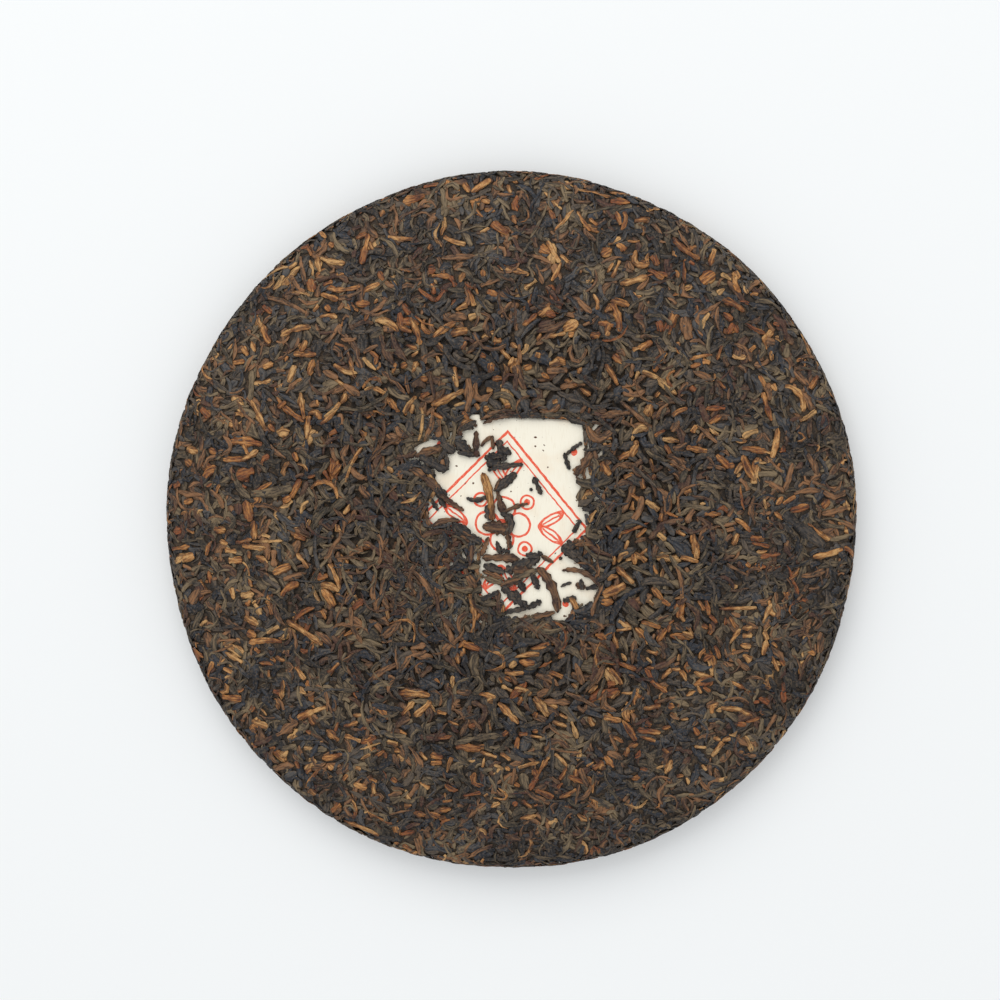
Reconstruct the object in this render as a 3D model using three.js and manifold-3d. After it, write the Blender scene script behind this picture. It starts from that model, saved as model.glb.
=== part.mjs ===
// A round cake of pressed pu erh tea leaves, lying on its back, with a paper ticket pressed into its face.
// Lengths are millimetres and angles degrees, with +Z up. The origin is on the table under the cake's middle,
// and +Y is towards the top of the ticket.

import * as THREE from 'three';
import { mergeVertices } from 'three/addons/utils/BufferGeometryUtils.js';
import Module from 'manifold-3d';

const wasm = await Module();
wasm.setup();

// The cake's own shape: a low dome in front, a rounded rim, and a flat back with the dimple of the bag's knot.
const CAKE_RADIUS = 100;
const CROWN_HEIGHT = 24;
const CROWN_RADIUS = 46;
const SHOULDER_RADIUS = 82;
const SHOULDER_HEIGHT = 17.4;
const RIM_TOP_HEIGHT = 11.6;
const WAIST_HEIGHT = 7;
const FOOT_RADIUS = 89;
const DIMPLE_RADIUS = 27;
const DIMPLE_DEPTH = 8;

// The outline is a little out of round: each wave has a number of lobes, a share of the radius and a direction.
const OUTLINE_WAVES = [
  { lobes: 2, share: 0.005, towards: 75 },
  { lobes: 5, share: 0.0022, towards: 20 },
  { lobes: 9, share: 0.0014, towards: 50 },
];

// The pressed surface: a net whose points sit a little high or low, least on the side of the rim.
// Crags on the back are pressed flush with the table.
const NET_DETAIL = 10;
const HIGHEST_CRAG = 0.3;
const HIGHEST_BACK_CRAG = 0.7;
const DEEPEST_PIT = 0.8;
const STEEP_BAND = 66;
const STEEP_BAND_SHARE = 0.6;
const RIM_STEEPNESS = 0.8;
const RIM_SHARE = 0.25;

// The largest leaves stand proud of the surface.
const LEAF_COUNT = 178;
const LEAF_LENGTH = { least: 9, most: 18 };
const LEAF_WIDTH = { least: 2.4, most: 4.2 };
const LEAF_THICKNESS = 2.6;
const LEAF_PROUD = { least: 0.5, most: 1.1 };
const MOST_LEAF_BEND = 110;
const LEAF_SIDES = 4;
const LEAF_STEPS = 4;
const FLAT_SHARE = Math.SQRT1_2;

// The paper ticket, which follows the dome at its depth under the skin, and the panes through which it shows
// between the leaves.
const TICKET = { width: 56, height: 61, thickness: 0.5, depth: 1.4, turn: -3, middle: [0, 0.8] };
const TICKET_STEPS = 6;
const CLEARANCE = 0.3;
const TICKET_PANES = [
  { middle: [5, 24.2], size: [36, 14] },
  { middle: [-1.6, 8.6], size: [47, 31] },
  { middle: [7.2, -14.6], size: [34, 31] },
];
const PANE_POINTS = 24;
const PANE_SQUARENESS = 4;
const PANE_RAG = 0.14;

// Leaves that lie wholly on the ticket: where each one's middle is, its length and width, the way it points,
// and how far it bends from end to end.
const LEAVES_ON_TICKET = [
  { at: [-6.7, 6.4], length: 14, width: 2.3, points: -70, bends: -28 },
  { at: [-1.6, 10.8], length: 7.4, width: 2.3, points: 40, bends: 5 },
  { at: [-10.6, 5.0], length: 7.5, width: 1.5, points: -5, bends: 80 },
  { at: [-2.1, 2.4], length: 9.5, width: 1.8, points: -58, bends: 10 },
  { at: [1.5, 3.7], length: 6.4, width: 1.3, points: 16, bends: -12 },
  { at: [-5.4, -2.6], length: 9, width: 3.4, points: -8, bends: 14 },
  { at: [0.6, -1.4], length: 7, width: 2, points: -80, bends: -110 },
  { at: [-1.2, 16.1], length: 8.8, width: 1.9, points: -6, bends: 6 },
  { at: [7.7, 9.7], length: 5.6, width: 1.6, points: -75, bends: -10 },
  { at: [10.1, -11.3], length: 3.8, width: 1.4, points: -30, bends: 0 },
  { at: [6.3, -13.8], length: 7, width: 2.4, points: -70, bends: 20 },
  { at: [2.4, -15.6], length: 8.6, width: 2.4, points: 15, bends: 12 },
  { at: [12.0, -19.6], length: 11, width: 2.3, points: -72, bends: -50 },
  { at: [0.6, -21.6], length: 7.6, width: 2.2, points: -60, bends: 8 },
  { at: [17.4, -18.4], length: 3.4, width: 1.9, points: 25, bends: 0 },
];
const TICKET_LEAF_THICKNESS = 1.3;
const TICKET_LEAF_SUNK = 0.2;

const TEA = new THREE.MeshStandardMaterial({ name: 'pressed_tea', color: 0x50433a, roughness: 0.78, metalness: 0 });
const PAPER = new THREE.MeshStandardMaterial({ name: 'ticket_paper', color: 0xf4ead6, roughness: 0.9, metalness: 0 });

const radians = THREE.MathUtils.degToRad;

// A seeded draw between 0 and 1, the same on every run.
function seededDraw(seed) {
  let state = seed;
  return () => {
    state = (state + 0x6d2b79f5) | 0;
    let mixed = Math.imul(state ^ (state >>> 15), 1 | state);
    mixed = (mixed + Math.imul(mixed ^ (mixed >>> 7), 61 | mixed)) ^ mixed;
    return ((mixed ^ (mixed >>> 14)) >>> 0) / 4294967296;
  };
}

// Solids for joining and cutting, and the way back to a geometry.
function solidFrom(geometry) {
  const bare = geometry.index ? geometry.toNonIndexed() : geometry.clone();
  bare.deleteAttribute('normal');
  bare.deleteAttribute('uv');
  const merged = mergeVertices(bare, 1e-4);
  const corners = merged.index.array;
  const kept = [];
  for (let i = 0; i < corners.length; i += 3) {
    const [a, b, c] = [corners[i], corners[i + 1], corners[i + 2]];
    if (a !== b && b !== c && c !== a) kept.push(a, b, c);
  }
  return new wasm.Manifold(new wasm.Mesh({
    numProp: 3,
    vertProperties: merged.attributes.position.array,
    triVerts: new Uint32Array(kept),
  }));
}

function geometryFrom(solid) {
  const { vertProperties, triVerts } = solid.getMesh();
  const geometry = new THREE.BufferGeometry();
  geometry.setAttribute('position', new THREE.BufferAttribute(new Float32Array(vertProperties), 3));
  geometry.setIndex(new THREE.BufferAttribute(new Uint32Array(triVerts), 1));
  return geometry;
}

// The cake's section, from the middle of the face, over the rim, to the middle of the dimple.
function cakeSection() {
  const section = new THREE.Path();
  const dimpleFloor = DIMPLE_RADIUS * 0.4;
  section.moveTo(0, CROWN_HEIGHT);
  section.bezierCurveTo(
    CROWN_RADIUS, CROWN_HEIGHT, SHOULDER_RADIUS - 16, SHOULDER_HEIGHT + 4.6, SHOULDER_RADIUS, SHOULDER_HEIGHT);
  section.bezierCurveTo(
    SHOULDER_RADIUS + 7, SHOULDER_HEIGHT - 2, CAKE_RADIUS - 5, RIM_TOP_HEIGHT + 1.5, CAKE_RADIUS - 2, RIM_TOP_HEIGHT);
  section.quadraticCurveTo(CAKE_RADIUS, RIM_TOP_HEIGHT - 1.4, CAKE_RADIUS, WAIST_HEIGHT);
  section.quadraticCurveTo(CAKE_RADIUS, WAIST_HEIGHT * 0.3, CAKE_RADIUS - 4, WAIST_HEIGHT * 0.14);
  section.quadraticCurveTo(CAKE_RADIUS - 7, 0, FOOT_RADIUS, 0);
  section.lineTo(DIMPLE_RADIUS, 0);
  section.bezierCurveTo(
    DIMPLE_RADIUS - 6, 0, dimpleFloor + 6, DIMPLE_DEPTH, dimpleFloor, DIMPLE_DEPTH);
  section.lineTo(0, DIMPLE_DEPTH);
  return section;
}

// Points along the section, each with its outward direction and the skin area passed so far.
function sectionSamples() {
  const spaced = cakeSection().getSpacedPoints(360);
  let area = 0;
  return spaced.map((point, i) => {
    const before = spaced[Math.max(i - 1, 0)];
    const after = spaced[Math.min(i + 1, spaced.length - 1)];
    const along = after.clone().sub(before).normalize();
    area += Math.PI * (point.x + before.x) * point.distanceTo(before);
    return { r: point.x, z: point.y, outR: -along.y, outZ: along.x, area };
  });
}

const SECTION = sectionSamples();
const SKIN_AREA = SECTION[SECTION.length - 1].area;

function outlineAt(angle) {
  return OUTLINE_WAVES.reduce(
    (sum, wave) => sum + wave.share * Math.cos(wave.lobes * (angle - radians(wave.towards))), 1);
}

// The skin's point and outward direction for one sample of the section, at an angle round the cake.
function skinAt(sample, angle) {
  const spread = sample.r * outlineAt(angle);
  return {
    point: new THREE.Vector3(spread * Math.cos(angle), spread * Math.sin(angle), sample.z),
    out: new THREE.Vector3(sample.outR * Math.cos(angle), sample.outR * Math.sin(angle), sample.outZ).normalize(),
  };
}

// A direction from a ball's middle becomes a place on the skin, with equal areas of the ball on equal areas of skin.
function skinTowards(direction) {
  const wanted = SKIN_AREA * (1 - direction.z) / 2;
  let sample = SECTION.findIndex((s) => s.area >= wanted - 1e-9);
  if (sample < 1) sample = 1;
  const [a, b] = [SECTION[sample - 1], SECTION[sample]];
  const t = THREE.MathUtils.clamp((wanted - a.area) / (b.area - a.area), 0, 1);
  const between = {};
  for (const key of ['r', 'z', 'outR', 'outZ']) between[key] = a[key] + (b[key] - a[key]) * t;
  return skinAt(between, Math.atan2(direction.y, direction.x));
}

// The place on the skin nearest to a point.
function skinNear(point) {
  const angle = Math.atan2(point.y, point.x);
  const r = Math.hypot(point.x, point.y) / outlineAt(angle);
  let nearest = SECTION[0];
  let least = Infinity;
  for (const sample of SECTION) {
    const gap = (sample.r - r) ** 2 + (sample.z - point.z) ** 2;
    if (gap < least) {
      least = gap;
      nearest = sample;
    }
  }
  return skinAt({ ...nearest, r: nearest.outZ * nearest.outZ > 0.5 ? r : nearest.r }, angle);
}

// The bare cake: a net drawn over the whole skin, uneven everywhere and smoother on the steep outer ring.
function bareCake() {
  const draw = seededDraw(7);
  const net = new THREE.IcosahedronGeometry(1, NET_DETAIL);
  net.deleteAttribute('normal');
  net.deleteAttribute('uv');
  const merged = mergeVertices(net, 1e-5);
  const place = merged.attributes.position;
  const direction = new THREE.Vector3();
  for (let i = 0; i < place.count; i++) {
    direction.fromBufferAttribute(place, i).normalize();
    const { point, out } = skinTowards(direction);
    const onFace = Math.hypot(point.x, point.y) < STEEP_BAND ? 1 : STEEP_BAND_SHARE;
    const loose = Math.abs(out.z) < RIM_STEEPNESS ? RIM_SHARE : onFace;
    const highest = out.z < -RIM_STEEPNESS ? HIGHEST_BACK_CRAG : HIGHEST_CRAG;
    const height = THREE.MathUtils.lerp(-DEEPEST_PIT, highest, draw()) * loose;
    point.addScaledVector(out, height);
    place.setXYZ(i, point.x, point.y, point.z);
  }
  return solidFrom(merged);
}

// One leaf lying along X: pointed at both ends, with a flat top and bottom, and bent to an arc.
function leafGeometry({ length, width, thickness, bends }) {
  const leaf = new THREE.SphereGeometry(1, LEAF_SIDES, LEAF_STEPS, Math.PI / LEAF_SIDES).rotateZ(Math.PI / 2);
  const place = leaf.attributes.position;
  const turn = radians(bends) || 1e-4;
  const bendRadius = length / turn;
  for (let i = 0; i < place.count; i++) {
    const heading = place.getX(i) * turn / 2;
    const across = place.getY(i) * width * FLAT_SHARE;
    place.setXYZ(
      i,
      Math.sin(heading) * bendRadius - Math.sin(heading) * across,
      (1 - Math.cos(heading)) * bendRadius + Math.cos(heading) * across,
      place.getZ(i) * thickness * FLAT_SHARE);
  }
  return leaf;
}

// A leaf laid on the cake's skin, following its curve, with its top standing proud.
function leafOnSkin({ point, out }, points, leaf) {
  const sideways = Math.abs(out.z) > 0.5 ? new THREE.Vector3(1, 0, 0) : new THREE.Vector3(0, 0, 1).cross(out);
  const across = out.clone().cross(sideways).normalize();
  const along = across.clone().cross(out).normalize();
  const frame = new THREE.Matrix4().makeBasis(along, across, out).setPosition(point);
  const geometry = leafGeometry(leaf).rotateZ(radians(points)).applyMatrix4(frame);
  const place = geometry.attributes.position;
  const corner = new THREE.Vector3();
  for (let i = 0; i < place.count; i++) {
    corner.fromBufferAttribute(place, i);
    const height = corner.clone().sub(point).dot(out);
    const under = skinNear(corner);
    corner.copy(under.point).addScaledVector(under.out, height + leaf.proud - leaf.thickness / 2);
    place.setXYZ(i, corner.x, corner.y, corner.z);
  }
  return solidFrom(geometry);
}

// The largest leaves, spread evenly over the skin by the golden angle. Round the rim they lie along it.
function skinLeaves() {
  const draw = seededDraw(19);
  const goldenAngle = Math.PI * (3 - Math.sqrt(5));
  const between = ({ least, most }) => THREE.MathUtils.lerp(least, most, draw());
  const leaves = [];
  for (let k = 0; k < LEAF_COUNT; k++) {
    const z = 1 - (2 * k + 1) / LEAF_COUNT;
    const spread = Math.sqrt(1 - z * z);
    const direction = new THREE.Vector3(spread * Math.cos(k * goldenAngle), spread * Math.sin(k * goldenAngle), z);
    const place = skinTowards(direction);
    const onRim = Math.abs(place.out.z) < RIM_STEEPNESS;
    const leaf = {
      length: between(LEAF_LENGTH) * (onRim ? 0.8 : 1),
      width: between(LEAF_WIDTH),
      thickness: LEAF_THICKNESS,
      proud: between(LEAF_PROUD),
      bends: onRim ? 0 : THREE.MathUtils.lerp(-MOST_LEAF_BEND, MOST_LEAF_BEND, draw()),
    };
    const points = onRim ? THREE.MathUtils.lerp(-16, 16, draw()) : 180 * draw();
    leaves.push(leafOnSkin(place, points, leaf));
  }
  return leaves;
}

// A squarish opening with an uneven edge, where the leaves round it stop.
function raggedPane(width, height, draw) {
  const corners = [];
  for (let k = 0; k < PANE_POINTS; k++) {
    const angle = 2 * Math.PI * k / PANE_POINTS;
    const [x, y] = [Math.cos(angle), Math.sin(angle)];
    const square = (Math.abs(x) ** PANE_SQUARENESS + Math.abs(y) ** PANE_SQUARENESS) ** (-1 / PANE_SQUARENESS);
    const reach = square * (1 - PANE_RAG * draw());
    corners.push(new THREE.Vector2(x * reach * width / 2, y * reach * height / 2));
  }
  return new THREE.Shape(corners);
}

// The height of the face's skin over a place.
function faceHeight(x, y) {
  const r = Math.hypot(x, y) / outlineAt(Math.atan2(y, x));
  const after = Math.max(SECTION.findIndex((sample) => sample.r >= r), 1);
  const [a, b] = [SECTION[after - 1], SECTION[after]];
  return THREE.MathUtils.mapLinear(r, a.r, b.r, a.z, b.z);
}

// A flat geometry bends with the dome: its height 0 comes to lie on the ticket's upper side.
function bentWithDome(geometry) {
  const place = geometry.attributes.position;
  for (let i = 0; i < place.count; i++) {
    const [x, y, z] = [place.getX(i), place.getY(i), place.getZ(i)];
    place.setZ(i, z + faceHeight(x, y) - TICKET.depth);
  }
  return geometry;
}

// A sheet of the ticket's size and more, between two heights over the ticket's upper side.
function ticketSheet(margin, bottom, top) {
  const [width, height] = [TICKET.width + 2 * margin, TICKET.height + 2 * margin];
  const sheet = new THREE.BoxGeometry(width, height, top - bottom, TICKET_STEPS, TICKET_STEPS, 1)
    .translate(0, 0, (bottom + top) / 2)
    .rotateZ(radians(TICKET.turn))
    .translate(...TICKET.middle, 0);
  return solidFrom(bentWithDome(sheet));
}

// What is taken out of the cake for the ticket: the slot that holds it, and the panes down to it.
function ticketSpace() {
  let space = ticketSheet(CLEARANCE, -TICKET.thickness - CLEARANCE, CLEARANCE);
  const floor = CROWN_HEIGHT - TICKET.depth - TICKET.thickness - CLEARANCE / 2;
  const depth = CROWN_HEIGHT + LEAF_THICKNESS - floor;
  const draw = seededDraw(5);
  for (const { middle, size } of TICKET_PANES) {
    const pane = new THREE.ExtrudeGeometry(raggedPane(...size, draw), { depth, bevelEnabled: false });
    space = space.add(solidFrom(pane.translate(...middle, floor).rotateZ(radians(TICKET.turn))));
  }
  return space;
}

function cake() {
  let whole = bareCake();
  for (const leaf of skinLeaves()) whole = whole.add(leaf);
  whole = whole.subtract(ticketSpace());
  const underTable = new THREE.BoxGeometry(3 * CAKE_RADIUS, 3 * CAKE_RADIUS, 10).translate(0, 0, -5);
  whole = whole.subtract(solidFrom(underTable));
  const pieces = whole.decompose();
  return pieces.reduce((largest, piece) => (piece.volume() > largest.volume() ? piece : largest));
}

// The ticket with the leaves that lie on it.
function ticket() {
  let whole = ticketSheet(0, -TICKET.thickness, 0);
  for (const { at, points, ...leaf } of LEAVES_ON_TICKET) {
    const lying = leafGeometry({ ...leaf, thickness: TICKET_LEAF_THICKNESS })
      .rotateZ(radians(points))
      .translate(...at, TICKET_LEAF_THICKNESS / 2 - TICKET_LEAF_SUNK);
    whole = whole.add(solidFrom(bentWithDome(lying)));
  }
  return whole;
}

function namedMesh(name, solid, material) {
  const mesh = new THREE.Mesh(geometryFrom(solid), material);
  mesh.name = name;
  return mesh;
}

const teaCake = new THREE.Group();
teaCake.add(namedMesh('pressed_tea', cake(), TEA));
teaCake.add(namedMesh('inner_ticket', ticket(), PAPER));

// The uneven rim is centred over the origin.
const middle = new THREE.Box3().setFromObject(teaCake).getCenter(new THREE.Vector3());
teaCake.children.forEach((mesh) => mesh.position.set(-middle.x, -middle.y, 0));

export default teaCake;
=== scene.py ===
"""A round cake of pressed pu erh tea leaves, lying on its back, with a paper ticket in its face.

The cake's skin is unrolled to a flat disc for each side. Leaves are laid on the disc one after another,
each on what already lies there, and the pile is pressed between its bed and the skin. Then the disc is
wrapped back on the cake. Lengths are metres, with +Z up out of the face and +Y towards the ticket's top edge.
"""

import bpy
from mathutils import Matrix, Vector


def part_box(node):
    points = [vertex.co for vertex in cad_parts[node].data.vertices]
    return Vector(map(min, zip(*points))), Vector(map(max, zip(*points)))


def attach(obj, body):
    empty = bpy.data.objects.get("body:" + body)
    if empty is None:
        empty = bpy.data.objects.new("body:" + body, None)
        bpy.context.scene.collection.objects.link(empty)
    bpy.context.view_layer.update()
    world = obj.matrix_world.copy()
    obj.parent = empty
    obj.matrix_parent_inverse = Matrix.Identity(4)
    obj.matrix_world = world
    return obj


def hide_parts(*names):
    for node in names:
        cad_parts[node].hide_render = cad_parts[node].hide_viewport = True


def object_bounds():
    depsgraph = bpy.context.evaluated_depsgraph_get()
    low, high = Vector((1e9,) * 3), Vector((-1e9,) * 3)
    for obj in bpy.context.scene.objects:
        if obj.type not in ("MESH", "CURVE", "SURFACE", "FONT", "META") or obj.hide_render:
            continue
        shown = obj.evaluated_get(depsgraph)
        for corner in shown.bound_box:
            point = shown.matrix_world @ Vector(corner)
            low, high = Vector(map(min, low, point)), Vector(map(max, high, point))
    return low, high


bl_info = {
    "name": "Pressed Tea Cake",
    "version": (1, 0, 0),
    "blender": (4, 5, 0),
    "location": "3D View > Sidebar > Tea Cake",
    "description": "Dresses a cake of pressed tea leaves with its leaves and its paper ticket",
    "category": "Object",
}

import math

import bpy
import numpy as np
from bpy.props import FloatProperty, FloatVectorProperty, IntProperty, PointerProperty
from mathutils import Matrix, Vector, noise

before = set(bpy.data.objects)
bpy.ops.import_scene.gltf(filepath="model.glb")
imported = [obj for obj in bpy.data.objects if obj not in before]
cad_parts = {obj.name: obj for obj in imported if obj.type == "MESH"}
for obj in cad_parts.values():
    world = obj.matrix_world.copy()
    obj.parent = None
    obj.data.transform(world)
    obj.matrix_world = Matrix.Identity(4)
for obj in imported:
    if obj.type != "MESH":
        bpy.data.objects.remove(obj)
CAD_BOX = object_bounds()

MM = 0.001
BODY = "root"

# The ticket is set this far from the cake's own axis.
TICKET_FROM_AXIS = (0, 0.8 * MM)
TICKET_LOW, TICKET_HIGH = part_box("inner_ticket")
AXIS = (
    (TICKET_LOW.x + TICKET_HIGH.x) / 2 - TICKET_FROM_AXIS[0],
    (TICKET_LOW.y + TICKET_HIGH.y) / 2 - TICKET_FROM_AXIS[1],
)

# The outline is a little out of round: lobes, share of the radius, direction.
OUTLINE_WAVES = ((2, 0.005, 75), (5, 0.0022, 20), (9, 0.0014, 50))


class CakeSizes(bpy.types.PropertyGroup):
    """The cake's own shape."""

    radius: FloatProperty(
        name="Radius", description="Half the width of the cake", default=100 * MM, unit="LENGTH")
    crown: FloatProperty(
        name="Crown", description="Height of the face's middle", default=24 * MM, unit="LENGTH")
    crown_reach: FloatProperty(
        name="Crown reach", description="How far out the middle stays nearly flat",
        default=46 * MM, unit="LENGTH")
    shoulder_radius: FloatProperty(
        name="Shoulder radius", description="Where the face turns down", default=82 * MM, unit="LENGTH")
    shoulder: FloatProperty(
        name="Shoulder", description="Height of the shoulder", default=17.4 * MM, unit="LENGTH")
    rim_top: FloatProperty(
        name="Rim top", description="Height where the side begins", default=11.6 * MM, unit="LENGTH")
    waist: FloatProperty(
        name="Waist", description="Height of the widest place", default=7 * MM, unit="LENGTH")
    foot_radius: FloatProperty(
        name="Foot radius", description="How far out the back lies flat", default=89 * MM, unit="LENGTH")
    dimple_radius: FloatProperty(
        name="Dimple radius", description="Half the width of the dimple in the back",
        default=27 * MM, unit="LENGTH")
    dimple_depth: FloatProperty(
        name="Dimple depth", description="Depth of the dimple in the back", default=8 * MM, unit="LENGTH")


class LeafLooks(bpy.types.PropertyGroup):
    """How many leaves there are and how they look."""

    seed: IntProperty(name="Seed", description="Changes how the leaves lie", default=11)
    bed_depth: FloatProperty(
        name="Bed depth", description="How far under the skin the lowest leaves lie in the middle",
        default=1.35 * MM, unit="LENGTH")
    rim_bed_depth: FloatProperty(
        name="Rim bed depth", description="How far under the skin they lie in the pressed outer ring",
        default=0.48 * MM, unit="LENGTH")
    proud: FloatProperty(
        name="Proud", description="How far the highest leaves stand over the skin",
        default=0.35 * MM, unit="LENGTH")
    roughness: FloatProperty(
        name="Roughness", description="Roughness of a dry leaf", default=0.6, min=0, max=1, subtype="FACTOR")


class TicketLooks(bpy.types.PropertyGroup):
    """The paper ticket."""

    width: FloatProperty(name="Width", description="Width of the ticket", default=56 * MM, unit="LENGTH")
    height: FloatProperty(name="Height", description="Height of the ticket", default=61 * MM, unit="LENGTH")
    depth: FloatProperty(
        name="Depth", description="How far under the skin the ticket lies", default=1.4 * MM, unit="LENGTH")
    thickness: FloatProperty(
        name="Thickness", description="Thickness of the paper", default=0.22 * MM, unit="LENGTH")
    turn: FloatProperty(
        name="Turn", description="How far the ticket is turned", default=math.radians(-3), unit="ROTATION")
    paper: FloatVectorProperty(
        name="Paper", description="Colour of the paper", default=(0.925, 0.872, 0.735),
        size=3, subtype="COLOR")
    ink: FloatVectorProperty(
        name="Ink", description="Colour of the print", default=(0.83, 0.10, 0.045), size=3, subtype="COLOR")


class StageLooks(bpy.types.PropertyGroup):
    """The floor, the lights and the camera."""

    floor: FloatVectorProperty(
        name="Floor", description="Colour of the floor", default=(0.725, 0.74, 0.742),
        size=3, subtype="COLOR")
    floor_glow: FloatProperty(
        name="Floor glow", description="Light that comes through the floor, as on a light table",
        default=0.19)
    key_watts: FloatProperty(
        name="Key light", description="Power of the large lamp, in watts", default=8.8)
    sky: FloatProperty(
        name="Sky", description="Strength of the even light from all round", default=0.80)
    camera_distance: FloatProperty(
        name="Camera distance", description="From the camera to the cake", default=0.9, unit="LENGTH")
    camera_tilt: FloatProperty(
        name="Camera tilt", description="How far the camera leans from straight above",
        default=math.radians(7), unit="ROTATION")
    camera_towards: FloatProperty(
        name="Camera towards", description="The way it leans, from +X",
        default=math.radians(35), unit="ROTATION")


# The picture's width in pixels, the size of a pixel at the cake, and the one in the middle of its outline.
PHOTO_PIXELS = 1000
PHOTO_PIXEL = 0.2876 * MM
MIDDLE_PIXEL = (511.3, 520.0)

# Where the middle of the cake's outline stands in the view, measured from the middle of the picture.
MIDDLE_IN_VIEW = (
    (MIDDLE_PIXEL[0] - PHOTO_PIXELS / 2) * PHOTO_PIXEL,
    (PHOTO_PIXELS / 2 - MIDDLE_PIXEL[1]) * PHOTO_PIXEL,
)

# As the camera leans, the outline's middle stands this far from the axis.
LEAN_SHIFT = (0.9 * MM, 0.8 * MM)

# The place that the camera aims at, measured from the axis.
AIM = (LEAN_SHIFT[0] - MIDDLE_IN_VIEW[0], LEAN_SHIFT[1] - MIDDLE_IN_VIEW[1])


def settings():
    """The sizes and looks of the cake, its leaves, its ticket and its stage."""
    scene = bpy.context.scene
    return scene.tea_cake, scene.tea_leaves, scene.tea_ticket, scene.tea_stage


# The skin

CURVE_STEPS = 24


def bezier(points):
    """Points along a Bezier curve of any degree, without its last one."""
    t = np.linspace(0, 1, CURVE_STEPS, endpoint=False)[:, None]
    n = len(points) - 1
    return sum(math.comb(n, k) * t**k * (1 - t) ** (n - k) * np.array(p) for k, p in enumerate(points))


def cake_section(cake):
    """Radius and height along the section, from the middle of the face over the rim to that of the dimple."""
    r, rim, waist, shoulder = cake.radius, cake.rim_top, cake.waist, cake.shoulder
    out, dimple, depth = cake.shoulder_radius, cake.dimple_radius, cake.dimple_depth
    floor = 0.4 * dimple
    curves = (
        ((0, cake.crown), (cake.crown_reach, cake.crown),
         (out - 16 * MM, shoulder + 4.6 * MM), (out, shoulder)),
        ((out, shoulder), (out + 7 * MM, shoulder - 2 * MM),
         (r - 5 * MM, rim + 1.5 * MM), (r - 2 * MM, rim)),
        ((r - 2 * MM, rim), (r, rim - 1.4 * MM), (r, waist)),
        ((r, waist), (r, 0.3 * waist), (r - 4 * MM, 0.14 * waist)),
        ((r - 4 * MM, 0.14 * waist), (r - 7 * MM, 0), (cake.foot_radius, 0)),
        ((cake.foot_radius, 0), (dimple, 0)),
        ((dimple, 0), (dimple - 6 * MM, 0), (floor + 6 * MM, depth), (floor, depth)),
        ((floor, depth), (0, depth)),
    )
    return np.concatenate([bezier(curve) for curve in curves] + [[(0, depth)]])


def outline_at(angle):
    """How far out the outline stands towards an angle, as a share of the radius."""
    return 1 + sum(share * np.cos(lobes * (angle - math.radians(towards)))
                   for lobes, share, towards in OUTLINE_WAVES)


class Skin:
    """One side of the cake's skin, unrolled to a flat disc round its middle."""

    LEAST_STEP = 1e-7

    def __init__(self, section, outwards):
        steps = np.hypot(*np.diff(section, axis=0).T)
        kept = np.concatenate([[True], steps > self.LEAST_STEP])
        self.section = section[kept]
        steps = np.hypot(*np.diff(self.section, axis=0).T)
        self.along = np.concatenate([[0], np.cumsum(steps)])
        tangent = np.gradient(self.section, self.along, axis=0)
        tangent /= np.hypot(*tangent.T)[:, None]
        self.out = np.stack([-tangent[:, 1], tangent[:, 0]], axis=1) * outwards
        self.outwards = outwards
        self.reach = self.along[-1]

    def wrapped(self, u, v, height):
        """Places on the cake of points on the disc that stand a height over the skin."""
        away, angle = np.hypot(u, v), np.arctan2(v, u)
        r, z, out_r, out_z = (
            np.interp(away, self.along, values)
            for values in (self.section[:, 0], self.section[:, 1], self.out[:, 0], self.out[:, 1]))
        r = r * outline_at(angle) + out_r * height
        x, y = AXIS[0] + r * np.cos(angle), AXIS[1] + r * np.sin(angle)
        return np.stack([x, y, z + out_z * height], axis=-1)

    def unrolled(self, x, y):
        """The disc's point under a place on the face, both measured from the axis."""
        angle = math.atan2(y, x)
        widest = int(np.argmax(self.section[:, 0]))
        away = np.interp(
            math.hypot(x, y) / outline_at(angle), self.section[:widest, 0], self.along[:widest])
        return away * math.cos(angle), away * math.sin(angle)


def both_skins(cake):
    """The face's skin as far as the foot, and the back's as far as the waist."""
    section = cake_section(cake)
    foot = int(np.argmax(section[:, 1] <= 0)) + 1
    waist = int(np.argmax(section[:, 0])) + 1
    return Skin(section[:foot], 1), Skin(section[waist:][::-1], -1)


def face_height(skin, x, y):
    """Height of the face's skin over places measured from the axis."""
    widest = int(np.argmax(skin.section[:, 0]))
    r = np.hypot(x, y) / outline_at(np.arctan2(y, x))
    return np.interp(r, skin.section[:widest, 0], skin.section[:widest, 1])


# The pile of leaves

# The size of a cell in the map of heights, the cells to spare round the disc, and how far apart the samples
# of a leaf are when it is laid on the map.
CELL = 0.3 * MM
SPARE_CELLS = 12
SAMPLE = 0.22 * MM

# Leaves are dropped on this many free cells at a time, and so often at most, until a layer is full.
PLACES_AT_A_TIME = 400
MOST_TIMES = 60
MOST_MENDINGS = 8

# A leaf is left out if fewer cells of it show. The others are the shares of it that may lie on a leaf that
# has to stay in sight, and on the closed part of the map, where the paper shows.
LEAST_SEEN = 4
MOST_HIDDEN = 0.08
MOST_CLOSED = 0.1
MOST_CLOSED_MENDING = 0.07

# A leaf rests on the highest place within so many samples. It keeps at least this share of its thickness
# under the limit, and its sides droop by that share of it.
REST_SAMPLES = 3
LEAST_ROOM = 0.03
DROOP = 0.35

# Thickness of a leaf: the least, the share of its width that comes on top, and the most.
LEAST_THICKNESS = 0.3 * MM
THICKNESS_BY_WIDTH = 0.2
MOST_THICKNESS = 0.75 * MM

# The face is loose inside the first of these distances along the skin and pressed smooth beyond the second.
# Out there a leaf has these shares of its thickness, its size and the painted shade along its edges.
PRESSED_RING = (48 * MM, 72 * MM)
PRESSED_THICKNESS = 0.34
PRESSED_SIZE = 0.78
PRESSED_EDGE_SHADE = 0.8

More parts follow.
